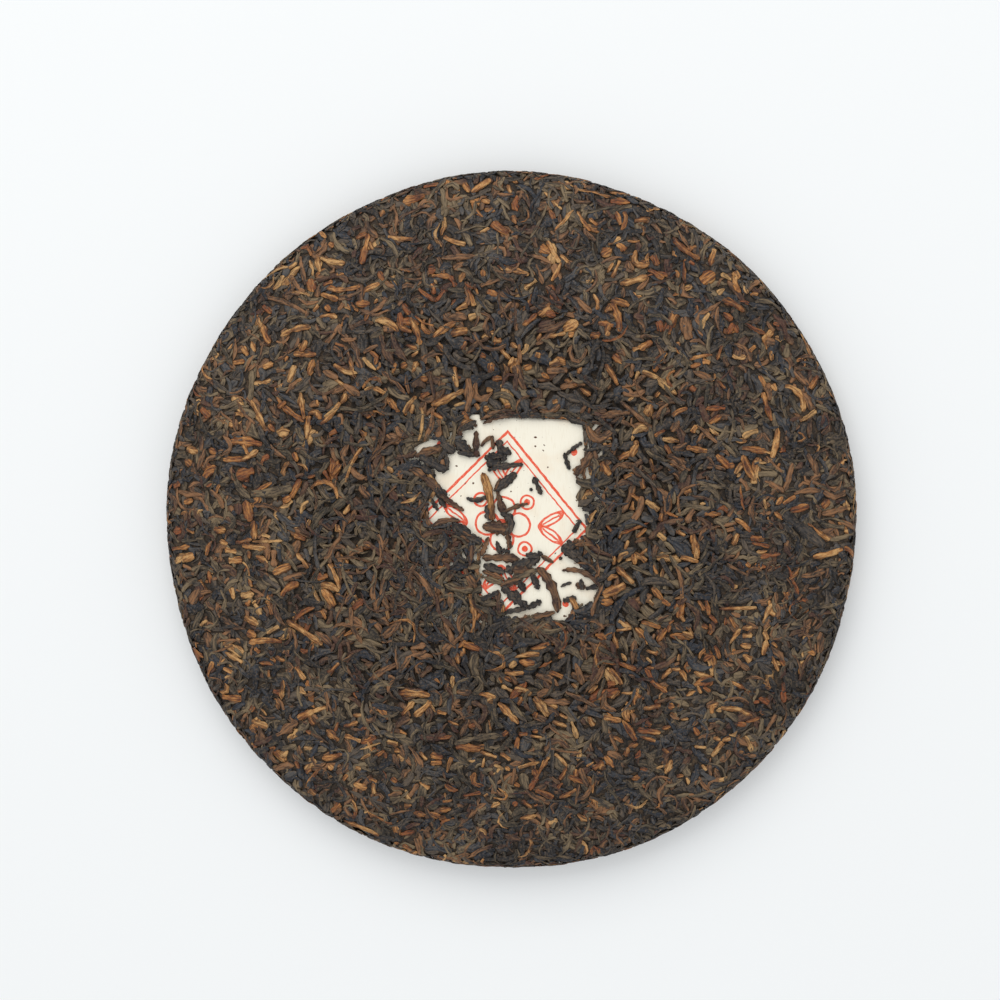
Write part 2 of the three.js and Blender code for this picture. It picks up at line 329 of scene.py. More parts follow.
KINDS = ("charcoal", "slate", "olive", "brown", "golden")


def smoothed(values, reach):
    """The mean of each value and that many neighbours on either side."""
    count = 2 * reach + 1
    return np.convolve(np.pad(values, reach, mode="edge"), np.ones(count) / count, mode="valid")


class Leaf:
    """One leaf on the unrolled skin."""

    def __init__(self, middle, length, width, heading, bend, kind, tint, blunt,
                 sway=0.0, lean=1.0, on_ticket=False):
        pressed = np.interp(math.hypot(*middle), PRESSED_RING, (1, PRESSED_THICKNESS))
        self.middle = middle
        self.length = length
        self.width = width
        self.heading = heading
        self.bend = bend
        self.sway = sway
        self.kind = kind
        self.tint = tint
        self.thickness = min(LEAST_THICKNESS + THICKNESS_BY_WIDTH * width, MOST_THICKNESS) * pressed
        self.lean = lean
        self.blunt = blunt
        self.on_ticket = on_ticket

    def line(self, steps):
        """Shares of the length, places, headings and half widths at equal steps along the leaf."""
        t = np.linspace(0, 1, steps)
        heading = self.heading + self.bend * (t - 0.5) + self.sway * np.sin(2 * math.pi * t)
        step = self.length / (steps - 1)
        x = np.concatenate([[0], np.cumsum(np.cos((heading[1:] + heading[:-1]) / 2))]) * step
        y = np.concatenate([[0], np.cumsum(np.sin((heading[1:] + heading[:-1]) / 2))]) * step
        x += self.middle[0] - (x[0] + x[-1]) / 2
        y += self.middle[1] - (y[0] + y[-1]) / 2
        half = self.width / 2 * np.sin(math.pi * t**self.lean).clip(0, 1) ** self.blunt
        return t, x, y, heading, half


class Pile:
    """The leaves of one side, pressed one over another, as a map of heights over the skin."""

    def __init__(self, skin, leaves, limit, rng):
        self.skin = skin
        self.rng = rng
        self.half = int(skin.reach / CELL) + SPARE_CELLS
        self.away = np.hypot(*self.places())
        self.bed = bed_height(leaves, self.away)
        self.limit = limit(self.away)
        self.top = self.bed.copy()
        self.owner = np.full(self.top.shape, -1)
        self.outside = self.away > skin.reach
        self.closed = np.zeros(self.top.shape, bool)
        self.kept_free = np.zeros(self.top.shape, bool)
        self.taken = self.outside.copy()
        self.leaves = []

    def places(self):
        """The place of each cell's middle on the disc."""
        at = (np.arange(2 * self.half + 1) - self.half) * CELL
        return np.meshgrid(at, at, indexing="ij")

    def cells(self, x, y):
        """Rows and columns of the cells at these places."""
        size = 2 * self.half
        return (np.rint(x / CELL).astype(int) + self.half).clip(0, size), (
            np.rint(y / CELL).astype(int) + self.half).clip(0, size)

    def numbered(self, cell):
        """Row and column of the cell with that number, and the place of its middle."""
        row, column = divmod(int(cell), self.taken.shape[1])
        return row, column, ((row - self.half) * CELL, (column - self.half) * CELL)

    def lay(self, leaf, most_overlap=1.0, most_closed=MOST_CLOSED):
        """Lays a leaf on what lies there, unless too much of its place is taken."""
        steps = max(int(leaf.length / SAMPLE), 6)
        _, x, y, heading, half = leaf.line(steps)
        across = np.linspace(-1, 1, max(int(leaf.width / SAMPLE), 3))
        px = x[:, None] - np.sin(heading)[:, None] * half[:, None] * across
        py = y[:, None] + np.cos(heading)[:, None] * half[:, None] * across
        cells = self.cells(px, py)
        if self.taken[cells].mean() > most_overlap or self.closed[cells].mean() > most_closed:
            return
        if self.kept_free[cells].mean() > MOST_HIDDEN:
            return
        under = self.top[cells].max(axis=1)
        padded = np.pad(under, REST_SAMPLES, mode="edge")
        highest = np.maximum.reduce([padded[k:k + steps] for k in range(2 * REST_SAMPLES + 1)])
        stiff = smoothed(highest, max(steps // 4, 3))
        support = np.maximum(under, (under + stiff) / 2)
        middle = self.cells(x, y)
        bed, limit = self.bed[middle], self.limit[middle]
        room = ((limit - support) / (limit - bed)).clip(LEAST_ROOM, 1)
        leaf.level = smoothed(support + leaf.thickness * room, 2)
        top = leaf.level[:, None] - leaf.thickness * DROOP * across**2
        higher = top > self.top[cells]
        rows, columns = cells[0][higher], cells[1][higher]
        self.top[rows, columns] = top[higher]
        self.owner[rows, columns] = len(self.leaves)
        self.taken[cells] = True
        self.leaves.append(leaf)

    def cover(self, make_leaf, wanted, most_overlap, first=()):
        """Lays a new layer of leaves until it covers the wanted share. The first leaves stay in sight."""
        self.taken = self.outside | self.closed | self.kept_free
        area = (~self.taken).sum()
        before = self.taken.copy()
        for leaf in first:
            self.lay(leaf)
        self.kept_free |= self.taken & ~before
        for _ in range(MOST_TIMES):
            free = np.flatnonzero(~self.taken)
            if len(free) < (1 - wanted) * area:
                return
            for cell in self.rng.choice(free, PLACES_AT_A_TIME):
                row, column, middle = self.numbered(cell)
                if not self.taken[row, column]:
                    self.lay(make_leaf(middle), most_overlap)

    def fill(self, make_leaf, count, depth):
        """Drops small bits into the places where more than that share of the room is left."""
        room = (self.limit - self.top) / (self.limit - self.bed)
        deep = np.flatnonzero((room > depth) & ~self.outside & ~self.closed)
        for cell in self.rng.choice(deep, count):
            _, _, middle = self.numbered(cell)
            self.lay(make_leaf(middle))

    def mend(self, make_leaf, where):
        """Covers with small bits what still shows between the leaves there."""
        for _ in range(MOST_MENDINGS):
            bare = np.flatnonzero((self.owner < 0) & where & ~self.closed & ~self.outside)
            for cell in self.rng.permutation(bare):
                row, column, middle = self.numbered(cell)
                if self.owner[row, column] < 0:
                    self.lay(make_leaf(middle), most_closed=MOST_CLOSED_MENDING)

    def seen(self):
        """The leaves of which something shows."""
        shown = np.bincount(self.owner[self.owner >= 0], minlength=len(self.leaves))
        return [
            leaf for leaf, count in zip(self.leaves, shown) if count >= LEAST_SEEN or leaf.on_ticket]


# How often each kind of leaf comes, by the kind of layer.
BED_SHARES = (0.28, 0.24, 0.26, 0.17, 0.05)
TOP_SHARES = (0.21, 0.18, 0.28, 0.28, 0.05)
BIT_SHARES = (0.25, 0.21, 0.22, 0.23, 0.09)
RIM_SHARES = (0.29, 0.23, 0.24, 0.18, 0.06)

# Round the rim the leaves have this share of their size and stray about so much from lying along it.
RIM_SIZE = 0.85
RIM_STRAY = 0.7

# How far a curled leaf and a straight one bend and how far either sways, in radians. Then the range of their
# forms: where the widest place is, and how blunt the ends are.
CURLED_BEND = (1.0, 2.9)
STRAIGHT_BEND = (0, 0.8)
SWAY = 0.45
LEAN = (0.7, 1.45)
BLUNT = (0.12, 0.55)

# The layers of each side, from the lowest: lengths and widths of their leaves in millimetres, how often each
# kind comes, and the share of them that is curled.
FACE_LAYERS = {
    "bed": ((4.5, 11), (1.8, 4.2), BED_SHARES, 0.3),
    "gaps": ((1.8, 4.5), (0.9, 1.7), BED_SHARES, 0.3),
    "top": ((4, 12), (1.1, 2.6), TOP_SHARES, 0.45),
    "bits": ((1.8, 5), (0.9, 1.9), BIT_SHARES, 0.3),
    "strands": ((6, 14), (0.7, 1.4), TOP_SHARES, 0.8),
}
BACK_LAYERS = {
    "bed": ((6, 12), (2.2, 4.4), BED_SHARES, 0.3),
    "top": ((5, 13), (1.4, 3), TOP_SHARES, 0.45),
    "bits": ((1.8, 4.5), (0.9, 1.7), BIT_SHARES, 0.3),
}


def leaf_maker(rng, layer, rim_from):
    """Returns a function that makes a leaf of random form at a place.

    Round the rim the leaves are dark and small and lie along it.
    """
    lengths, widths, shares, curled = layer

    def make(middle):
        length, width = (rng.uniform(*(size * MM for size in sizes)) for sizes in (lengths, widths))
        heading = rng.uniform(0, 2 * math.pi)
        kind = int(rng.choice(len(KINDS), p=shares))
        away = math.hypot(*middle)
        finer = float(np.interp(away, PRESSED_RING, (1, PRESSED_SIZE)))
        length, width = finer * length, finer * width
        if away > rim_from:
            heading = math.atan2(middle[1], middle[0]) + math.pi / 2 + rng.normal(0, RIM_STRAY)
            kind = int(rng.choice(len(KINDS), p=RIM_SHARES))
            length, width = RIM_SIZE * length, RIM_SIZE * width
        width = min(width, length / 2)
        slim = 1 - width / length
        curl = rng.uniform(*(CURLED_BEND if rng.random() < curled * slim else STRAIGHT_BEND))
        return Leaf(
            middle, length, width, heading,
            bend=float(rng.choice((-1, 1))) * curl,
            sway=rng.normal(0, SWAY) * slim,
            kind=kind,
            tint=rng.uniform(0, 1),
            lean=rng.uniform(*LEAN),
            blunt=rng.uniform(*BLUNT))

    return make


def leaf_between(skin, kind, start_x, start_y, end_x, end_y, width, bend, tint, **values):
    """A leaf laid from one place to another, both as seen in the view."""
    (start_u, start_v), (end_u, end_v) = (
        skin.unrolled(*as_seen(skin, x * MM, y * MM)) for x, y in ((start_x, start_y), (end_x, end_y)))
    bend = math.radians(bend)
    straight = math.hypot(end_u - start_u, end_v - start_v)
    length = straight * (bend / 2 / math.sin(bend / 2) if bend else 1)
    return Leaf(
        ((start_u + end_u) / 2, (start_v + end_v) / 2), length, width * MM,
        math.atan2(end_v - start_v, end_u - start_u), bend=bend, kind=KINDS.index(kind), tint=tint, **values)


# Where the paper shows between the leaves, traced round in millimetres from the middle of the outline.
TICKET_WINDOW = (
    (
        (-9.0, 27.8), (-7.3, 28.9), (-3.3, 29.1), (0.2, 29.3), (5.4, 29.4), (11.2, 29.2), (16.4, 28.6),
        (20.6, 27.2), (20.4, 23.1), (20.7, 20.2), (20.7, 17.3), (17.0, 14.4), (17.3, 12.1), (19.3, 11.3),
        (19.6, 8.7), (19.0, 5.8), (19.9, 2.9), (21.0, 0.6), (21.6, -2.3), (20.1, -5.2), (17.5, -6.1),
        (15.2, -7.8), (14.7, -9.8), (17.5, -11.8), (19.9, -13.9), (23.3, -15.9), (25.3, -19.1),
        (23.9, -21.4), (23.3, -23.4), (19.3, -24.0), (16.4, -24.6), (17.3, -26.3), (14.9, -28.6),
        (12.1, -28.3), (10.9, -27.5), (8.3, -26.3), (5.4, -26.9), (2.5, -27.7), (-1.5, -27.7),
        (-2.1, -23.1), (-4.1, -21.4), (-8.8, -22.0), (-9.0, -17.3), (-8.8, -13.3), (-9.0, -9.5),
        (-8.2, -7.2), (-8.8, -5.5), (-10.8, -4.0), (-12.5, -2.9), (-13.1, -1.2), (-16.3, 0.0),
        (-19.4, -0.9), (-22.9, -0.9), (-24.1, 3.8), (-22.3, 6.4), (-20.3, 8.1), (-20.6, 10.7),
        (-22.9, 13.3), (-21.8, 15.0), (-18.9, 14.4), (-18.9, 19.7), (-16.0, 21.1), (-13.7, 18.8),
        (-10.8, 18.8), (-10.2, 21.4), (-11.9, 20.5), (-14.0, 24.0), (-14.0, 25.7), (-10.5, 25.7),
        (-9.0, 27.5),
    ),
    ((-12.2, 30.9), (-9.6, 30.6), (-8.8, 29.2), (-9.9, 27.7)),
    ((-27.8, 20.8), (-25.2, 22.8), (-20.9, 23.1), (-20.9, 21.4), (-25.2, 20.8), (-27.3, 18.8)),
    ((-26.7, 15.3), (-24.7, 17.6), (-22.3, 16.8), (-24.4, 16.2)),
    ((-27.8, 27.2), (-26.4, 27.5), (-25.5, 25.7), (-27.0, 25.4)),
    ((23.0, 27.2), (24.8, 27.5), (24.5, 25.7), (23.0, 26.0)),
    ((24.8, 20.2), (25.9, 20.8), (26.2, 18.8), (25.1, 17.6)),
    ((21.3, 13.9), (22.5, 13.6), (22.5, 11.6), (21.3, 12.1)),
    ((24.5, 13.0), (25.6, 13.3), (25.6, 11.6), (24.8, 11.3)),
    ((-11.4, -11.6), (-10.5, -9.0), (-9.9, -9.2), (-10.2, -11.6)),
)


def photo_view():
    """What the camera aims at, and its own axes: to the right, up and back."""
    cake, _, _, stage = settings()
    target = Vector((AXIS[0] + AIM[0], AXIS[1] + AIM[1], cake.waist))
    tilt, towards = stage.camera_tilt, stage.camera_towards
    back = Vector((math.sin(tilt) * math.cos(towards), math.sin(tilt) * math.sin(towards), math.cos(tilt)))
    right = Vector((0, 1, 0)).cross(back).normalized()
    return target, right, back.cross(right), back


# A ray from the camera is brought to the skin in so many rounds.
ROUNDS_TO_SKIN = 4


def as_seen(skin, x, y):
    """The place on the face that the camera sees x and y beside the cake's middle in the picture."""
    target, right, up, back = photo_view()
    eye = target + back * settings()[3].camera_distance
    ray = target + right * (x + MIDDLE_IN_VIEW[0]) + up * (y + MIDDLE_IN_VIEW[1]) - eye
    seen = (x, y)
    for _ in range(ROUNDS_TO_SKIN):
        place = eye + ray * ((face_height(skin, *seen) - eye.z) / ray.z)
        seen = (place.x - AXIS[0], place.y - AXIS[1])
    return seen


def inside_outline(x, y, corners):
    """True for points inside a closed outline."""
    inside = np.zeros(np.shape(x), bool)
    for (x0, y0), (x1, y1) in zip(corners, corners[1:] + corners[:1]):
        if y0 != y1:
            inside ^= ((y0 > y) != (y1 > y)) & (x < x0 + (x1 - x0) * (y - y0) / (y1 - y0))
    return inside


def ticket_window(skin, u, v):
    """True where the paper shows between the leaves."""
    shown = np.zeros(np.shape(u), bool)
    for outline in TICKET_WINDOW:
        corners = [skin.unrolled(*as_seen(skin, x * MM, y * MM)) for x, y in outline]
        shown |= inside_outline(u, v, corners)
    return shown


def bed_height(leaves, away):
    """Height over the skin on which the lowest leaves lie."""
    return -np.interp(away, PRESSED_RING, (leaves.bed_depth, leaves.rim_bed_depth))


# The part of the map under which the ticket lies, as a share of its size to either side of its middle.
OVER_TICKET = 0.54

# Where the face's rim begins, and how high leaves may stand along the skin, in shares of how proud they are.
FACE_RIM = 101 * MM
FACE_LIMIT_PLACES = (*PRESSED_RING, 97 * MM, 102 * MM, 111 * MM)
FACE_LIMIT_SHARES = (1, 0.45, 0.45, 1.3, 1.3, 0.6)

# Where the back's rim begins and where its foot lies, inwards from the edge of the disc, and the height over
# the skin that its leaves may reach on either side of the foot.
BACK_RIM = 12 * MM
BACK_FOOT = (26 * MM, 16 * MM)
BACK_LIMITS = (-0.05 * MM, 0.1 * MM)

# How blunt the ends are of the leaves that stand out and of those round the ticket.
LANDMARK_BLUNT = 0.22
TICKET_LEAF_BLUNT = 0.3


def face_pile(cake, leaves, ticket):
    """The leaves of the face and the rim, without those round the ticket."""
    skin = both_skins(cake)[0]
    rng = np.random.default_rng(leaves.seed)

    def limit(away):
        return leaves.proud * np.interp(away, (*FACE_LIMIT_PLACES, skin.reach), FACE_LIMIT_SHARES)

    def leaves_of(layer):
        return leaf_maker(rng, FACE_LAYERS[layer], FACE_RIM)

    pile = Pile(skin, leaves, limit, rng)
    u, v = pile.places()
    pile.closed = ticket_window(skin, u, v)
    pile.cover(leaves_of("bed"), wanted=0.94, most_overlap=0.35)
    over_ticket = (np.abs(u) < OVER_TICKET * ticket.width) & (
        np.abs(v - TICKET_FROM_AXIS[1]) < OVER_TICKET * ticket.height)
    pile.mend(leaves_of("gaps"), over_ticket)
    landmarks = [
        leaf_between(skin, kind, *place, blunt=LANDMARK_BLUNT)
        for kind, places in LANDMARK_LEAVES.items() for place in places]
    pile.cover(leaves_of("top"), wanted=0.72, most_overlap=0.2, first=landmarks)
    pile.fill(leaves_of("bits"), count=3600, depth=0.45)
    pile.cover(leaves_of("strands"), wanted=0.15, most_overlap=0.2)
    return pile


def back_pile(cake, leaves):
    """The leaves of the back, its dimple and its foot."""
    skin = both_skins(cake)[1]
    rng = np.random.default_rng(leaves.seed + 1)
    foot = [skin.reach - inwards for inwards in BACK_FOOT]

    def limit(away):
        return np.interp(away, foot, BACK_LIMITS)

    def leaves_of(layer):
        return leaf_maker(rng, BACK_LAYERS[layer], skin.reach - BACK_RIM)

    pile = Pile(skin, leaves, limit, rng)
    pile.cover(leaves_of("bed"), wanted=0.88, most_overlap=0.3)
    pile.cover(leaves_of("top"), wanted=0.64, most_overlap=0.3)
    pile.fill(leaves_of("bits"), count=900, depth=0.5)
    return pile


# From leaves to a mesh

# The corners of a leaf's section, the steps of its middle line, and the rings of a leaf up to each length.
SIDES = 6
LINE_STEPS = 48
RING_COUNTS = ((4.2 * MM, 3), (8 * MM, 5), (1.0, 8))
FINE_RING_COUNTS = ((2 * MM, 4), (5 * MM, 9), (1.0, 16))

# A leaf's tips lie this share of its thickness under its top.
TIP_DROP = 0.75

# The length of leaf that one unit of the flat coordinates stands for.
FLAT_UNIT = 10 * MM


def leaf_faces(rings):
    """The corners of each face of one leaf with that many rings between its two tips, facing outwards."""
    last = 1 + SIDES * rings
    faces = []
    for j in range(SIDES):
        k = (j + 1) % SIDES
        faces.append((0, 1 + j, 1 + k))
        for i in range(rings - 1):
            a, b = 1 + SIDES * i, 1 + SIDES * (i + 1)
            faces.append((a + j, b + j, b + k, a + k))
        faces.append((last, last - SIDES + k, last - SIDES + j))
    return faces


def leaf_sections(rng, half, t):
    """Half widths of the rings of many leaves, and their corners: across in half widths, down in thicknesses.

    Each section is folded in along a seam and turns from ring to ring, so that a leaf looks furled.
    """
    count = len(half)
    half = half * (1 + 0.24 * rng.standard_normal(half.shape)).clip(0.5, 1.45)
    twist = rng.uniform(0, 2 * math.pi, (count, 1)) + rng.normal(0, 2.2, (count, 1)) * t
    seam = rng.uniform(-0.25, 0.25, (count, 1)) + 0.15 * np.cos(twist)
    flat = np.zeros(twist.shape)
    groove = rng.uniform(0.1, 0.6, (count, 1)) + flat
    tilt = 0.25 * np.sin(twist)
    across = np.stack(
        [flat - 1, (seam - 1) / 2, seam, (seam + 1) / 2, flat + 1, flat], axis=-1)
    down = np.stack(
        [tilt - 0.5, tilt / 2 - 0.05, -groove, -tilt / 2 - 0.05, -tilt - 0.5, flat - 1.7], axis=-1)
    return half, across, down + 0.09 * rng.standard_normal(down.shape)


def leaf_meshes(leaves, skin, rng, ring_counts):
    """Points, faces, flat coordinates, tints and nearness to an edge of many leaves, the last of which sets
    their painted edge shade.
    """
    points, corners, sizes, flats, tints, edges = [], [], [], [], [], []
    start = 0
    for (longest, rings), shortest in zip(ring_counts, (0.0,) + tuple(size for size, _ in ring_counts)):
        group = [leaf for leaf in leaves if shortest < leaf.length <= longest]
        if not group:
            continue
        count = len(group)
        per_leaf = 2 + SIDES * rings

        # The rings stand closer together towards the tips.
        turns = math.pi * np.arange(rings + 2) / (rings + 1)
        stops = np.rint(LINE_STEPS / 2 * (1 - np.cos(turns))).astype(int)
        t = stops / LINE_STEPS
        lines = [leaf.line(LINE_STEPS + 1) for leaf in group]
        x, y, heading, half = (np.array([line[k][stops[1:-1]] for line in lines]) for k in (1, 2, 3, 4))
        tips_x, tips_y = (np.array([line[k][[0, -1]] for line in lines]) for k in (1, 2))
        level = np.array([
            np.interp(t, np.linspace(0, 1, len(leaf.level)), leaf.level) for leaf in group])
        thick = np.array([leaf.thickness for leaf in group])[:, None]
        length = np.array([leaf.length for leaf in group])[:, None]

        half, side, down = leaf_sections(rng, half, t[1:-1])
        sideways = half[..., None] * side
        u = x[..., None] - np.sin(heading)[..., None] * half[..., None] * side
        v = y[..., None] + np.cos(heading)[..., None] * half[..., None] * side
        height = level[:, 1:-1, None] + thick[..., None] * down
        rows = (count, -1)
        body = skin.wrapped(u.reshape(rows), v.reshape(rows), height.reshape(rows))
        tips = skin.wrapped(tips_x, tips_y, level[:, [0, -1]] - TIP_DROP * thick)
        points.append(np.concatenate([tips[:, :1], body, tips[:, 1:]], axis=1).reshape(-1, 3))

        nothing = 0 * length
        along = np.concatenate(
            [nothing, np.repeat(t[1:-1][None] * length, SIDES, axis=1), length], axis=1)
        across = np.concatenate([nothing, sideways.reshape(rows), nothing], axis=1)
        flats.append(np.stack([along, across], axis=-1).reshape(-1, 2))
        tints.append(np.repeat([leaf.tint for leaf in group], per_leaf))
        # Nearness to an edge, tips included, sets the painted shade along a leaf's edges; it is weaker in the
        # pressed ring.
        edge_shade_share = np.array([
            np.interp(math.hypot(*leaf.middle), PRESSED_RING, (1, PRESSED_EDGE_SHADE)) for leaf in group])
        tip = np.ones((count, 1))
        near_edge = np.concatenate([tip, np.abs(side).reshape(rows), tip], axis=1)
        edges.append((near_edge * edge_shade_share[:, None]).ravel())

        faces = leaf_faces(rings)
        if skin.outwards > 0:
            faces = [face[::-1] for face in faces]
        shape = np.concatenate([np.array(face) for face in faces])
        corners.append((start + np.arange(count)[:, None] * per_leaf + shape).ravel())
        sizes.append(np.tile([len(face) for face in faces], count))
        start += count * per_leaf
    return tuple(np.concatenate(parts) for parts in (points, corners, sizes, flats, tints, edges))


def kept_inside(points):
    """The points, brought in where they reach out of the cake's own box."""
    margin = 0.02 * MM
    low, high = (np.array(corner) for corner in CAD_BOX)
    return points.clip(low + (margin, margin, 0), high - margin)


def leaf_piece(name, leaves, skin, rng, kind, node, ring_counts=RING_COUNTS):
    """Makes one piece of all these leaves of a kind."""
    points, corners, sizes, flats, tints, edges = leaf_meshes(leaves, skin, rng, ring_counts)
    mesh = bpy.data.meshes.new(name)
    mesh.vertices.add(len(points))
    mesh.vertices.foreach_set("co", kept_inside(points).astype(np.float32).ravel())
    mesh.loops.add(len(corners))
    mesh.loops.foreach_set("vertex_index", corners.astype(np.int32))
    mesh.polygons.add(len(sizes))
    starts = np.concatenate([[0], np.cumsum(sizes)[:-1]])
    mesh.polygons.foreach_set("loop_start", starts.astype(np.int32))
    mesh.polygons.foreach_set("loop_total", sizes.astype(np.int32))
    mesh.update(calc_edges=True)
    mesh.validate()
    along_leaf = mesh.uv_layers.new(name="along_leaf")
    along_leaf.data.foreach_set("uv", (flats[corners] / FLAT_UNIT).astype(np.float32).ravel())
    for attribute, values in (("tint", tints), ("edge", edges)):
        mesh.attributes.new(attribute, "FLOAT", "POINT").data.foreach_set("value", values.astype(np.float32))
    mesh.shade_smooth()
    piece = bpy.data.objects.new(name, mesh)
    bpy.context.scene.collection.objects.link(piece)
    piece.data.materials.append(leaf_material(kind))
    carried(piece, node)


def carried(piece, node):
    """Says what a piece rides on, which node it takes the place of."""
    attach(piece, BODY)
    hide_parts(node)


# Materials

def srgb(red, green, blue):
    """A colour given as it looks on a screen, 0 to 255, in the shader's own linear numbers."""
    def linear(value):
        value /= 255
        return value / 12.92 if value <= 0.04045 else ((value + 0.055) / 1.055) ** 2.4
    return linear(red), linear(green), linear(blue), 1.0


class Nodes:
    """A node tree with short ways to add nodes and links."""

    def __init__(self, tree):
        self.tree = tree

    def add(self, kind, inputs=(), **values):
        """A new node. An input is a number or colour of its own, or the socket that it is linked to."""
        node = self.tree.nodes.new(kind)
        for name, value in values.items():
            setattr(node, name, value)
        for socket, value in dict(inputs).items():
            if isinstance(value, bpy.types.NodeSocket):
                self.link(value, node.inputs[socket])
            else:
                node.inputs[socket].default_value = value
        return node

    def link(self, output, given):
        """Links an output to the input that it is given to."""
        self.tree.links.new(output, given)

    def math(self, operation, *values):
        """What the operation makes of the values."""
        return self.add("ShaderNodeMath", dict(enumerate(values)), operation=operation).outputs[0]

    def distance(self, across, up):
        """How far that is across and up together."""
        squares = (self.math("POWER", value, 2.0) for value in (across, up))
        return self.math("SQRT", self.math("ADD", *squares))

    def mix(self, factor, a, b):
        """The first colour where the factor is 0, the second where it is 1."""
        return self.add("ShaderNodeMix", {0: factor, 6: a, 7: b}, data_type="RGBA").outputs[2]

    def step(self, value, low, high, to_low=0.0, to_high=1.0, smooth=True):
        """Goes from one number to the other while the value goes from low to high."""
        return self.add(
            "ShaderNodeMapRange", {0: value, 1: low, 2: high, 3: to_low, 4: to_high},
            interpolation_type="SMOOTHSTEP" if smooth else "LINEAR").outputs[0]

    def noise(self, vector, scale, detail=3.0, roughness=0.55):
        """A cloudy pattern with that many blotches to a unit of length."""
        return self.add(
            "ShaderNodeTexNoise", {"Vector": vector, "Scale": scale, "Detail": detail, "Roughness": roughness}
        ).outputs["Fac"]

    def ramp(self, factor, stops):
        """A colour that runs through these places and colours."""
        ramp = self.add("ShaderNodeValToRGB", {0: factor})
        points = ramp.color_ramp.elements
        while len(points) < len(stops):
            points.new(0.5)
        for point, (position, colour) in zip(points, stops):
            point.position = position
            point.color = colour
        return ramp.outputs[0]


def node_group(name, inputs, outputs):
    """A node group with those named inputs and outputs, and the sockets for them inside it."""
    tree = bpy.data.node_groups.new(name, "ShaderNodeTree")
    for socket, (kind, default) in inputs.items():
        made = tree.interface.new_socket(socket, in_out="INPUT", socket_type=kind)
        if default is not None:
            made.default_value = default
    for socket, kind in outputs.items():
        tree.interface.new_socket(socket, in_out="OUTPUT", socket_type=kind)
    nodes = Nodes(tree)
    return nodes, nodes.add("NodeGroupInput").outputs, nodes.add("NodeGroupOutput").inputs


# The pattern on a leaf: streaks to a flat unit along it, what sets two leaves apart in it, and the fineness
# and relief of the mottle that lies over all leaves alike.
STREAKS_ALONG = 3.2
STREAKS_APART = 61.0
MOTTLE_SCALE = 1500.0
MOTTLE_RELIEF = 0.6


def leaf_streaks():
    """Streaks that run along each leaf, finer across it, different on every leaf."""
    name = "Leaf streaks"
    if name in bpy.data.node_groups:
        return bpy.data.node_groups[name]
    nodes, given, out = node_group(
        name,
        {"Tint": ("NodeSocketFloat", 0.5), "Streak width": ("NodeSocketFloat", 17.0)},
        {"Streak": "NodeSocketFloat", "Mottle": "NodeSocketFloat", "Height": "NodeSocketFloat"})
    flat = nodes.add("ShaderNodeUVMap", uv_map="along_leaf").outputs[0]
    flat = nodes.add("ShaderNodeSeparateXYZ", {0: flat})
    stretched = nodes.add("ShaderNodeCombineXYZ", {
        0: nodes.math("MULTIPLY", flat.outputs[0], STREAKS_ALONG),
        1: nodes.math("MULTIPLY", flat.outputs[1], given["Streak width"]),
        2: nodes.math("MULTIPLY", given["Tint"], STREAKS_APART)}).outputs[0]
    streak = nodes.noise(stretched, 1.0, 5.0, 0.68)
    place = nodes.add("ShaderNodeTexCoord").outputs["Object"]
    mottle = nodes.noise(place, MOTTLE_SCALE, 3.0, 0.65)
    nodes.link(nodes.step(streak, 0.34, 0.64), out["Streak"])
    nodes.link(nodes.step(mottle, 0.28, 0.72, smooth=False), out["Mottle"])
    nodes.link(
        nodes.math("ADD", streak, nodes.math("MULTIPLY", mottle, MOTTLE_RELIEF)), out["Height"])
    return nodes.tree


# Each kind of leaf runs through these colours from leaf to leaf, and gets a dark colour between its streaks
# and as painted shade along its edges, and pale dust on top.
LEAF_COLOURS = {
    "charcoal": (srgb(43, 41, 41), srgb(55, 53, 53), srgb(70, 64, 59), srgb(90, 79, 68)),
    "slate": (srgb(36, 41, 50), srgb(46, 51, 60), srgb(58, 61, 67), srgb(78, 76, 75)),
    "olive": (srgb(66, 59, 48), srgb(90, 79, 62), srgb(104, 88, 68), srgb(126, 108, 82)),
    "brown": (srgb(94, 58, 46), srgb(92, 66, 48), srgb(116, 82, 56), srgb(142, 100, 66)),
    "golden": (srgb(156, 86, 44), srgb(158, 102, 53), srgb(182, 124, 68), srgb(196, 152, 98)),
}


LEAF_STREAK_DARK_AND_EDGE_SHADE = srgb(30, 28, 28)
LEAF_DUST = srgb(118, 98, 76)

# How far a leaf's own streaks shift its colour, and how far broad patches shift that of all leaves there,
# inside the pressed ring and beyond it. Patches also take away some of the dark between streaks and of the
# painted edge shade, or add to it.
STREAK_SHIFT = 0.38
PATCH_SCALE = 90.0
PATCH_SHIFTS = (0.22, 0.4)
PATCH_SHADE = 0.4


def new_material(name):
    """A material, its nodes and its shader."""
    material = bpy.data.materials.new(name)
    material.use_nodes = True
    nodes = Nodes(material.node_tree)
    shader = material.node_tree.nodes["Principled BSDF"]
    return material, nodes, shader


def roughen(nodes, shader, height, strength, depth):
    """Gives a material its finest relief."""
    bump = nodes.add("ShaderNodeBump", {"Height": height, "Strength": strength, "Distance": depth})
    nodes.link(bump.outputs[0], shader.inputs["Normal"])


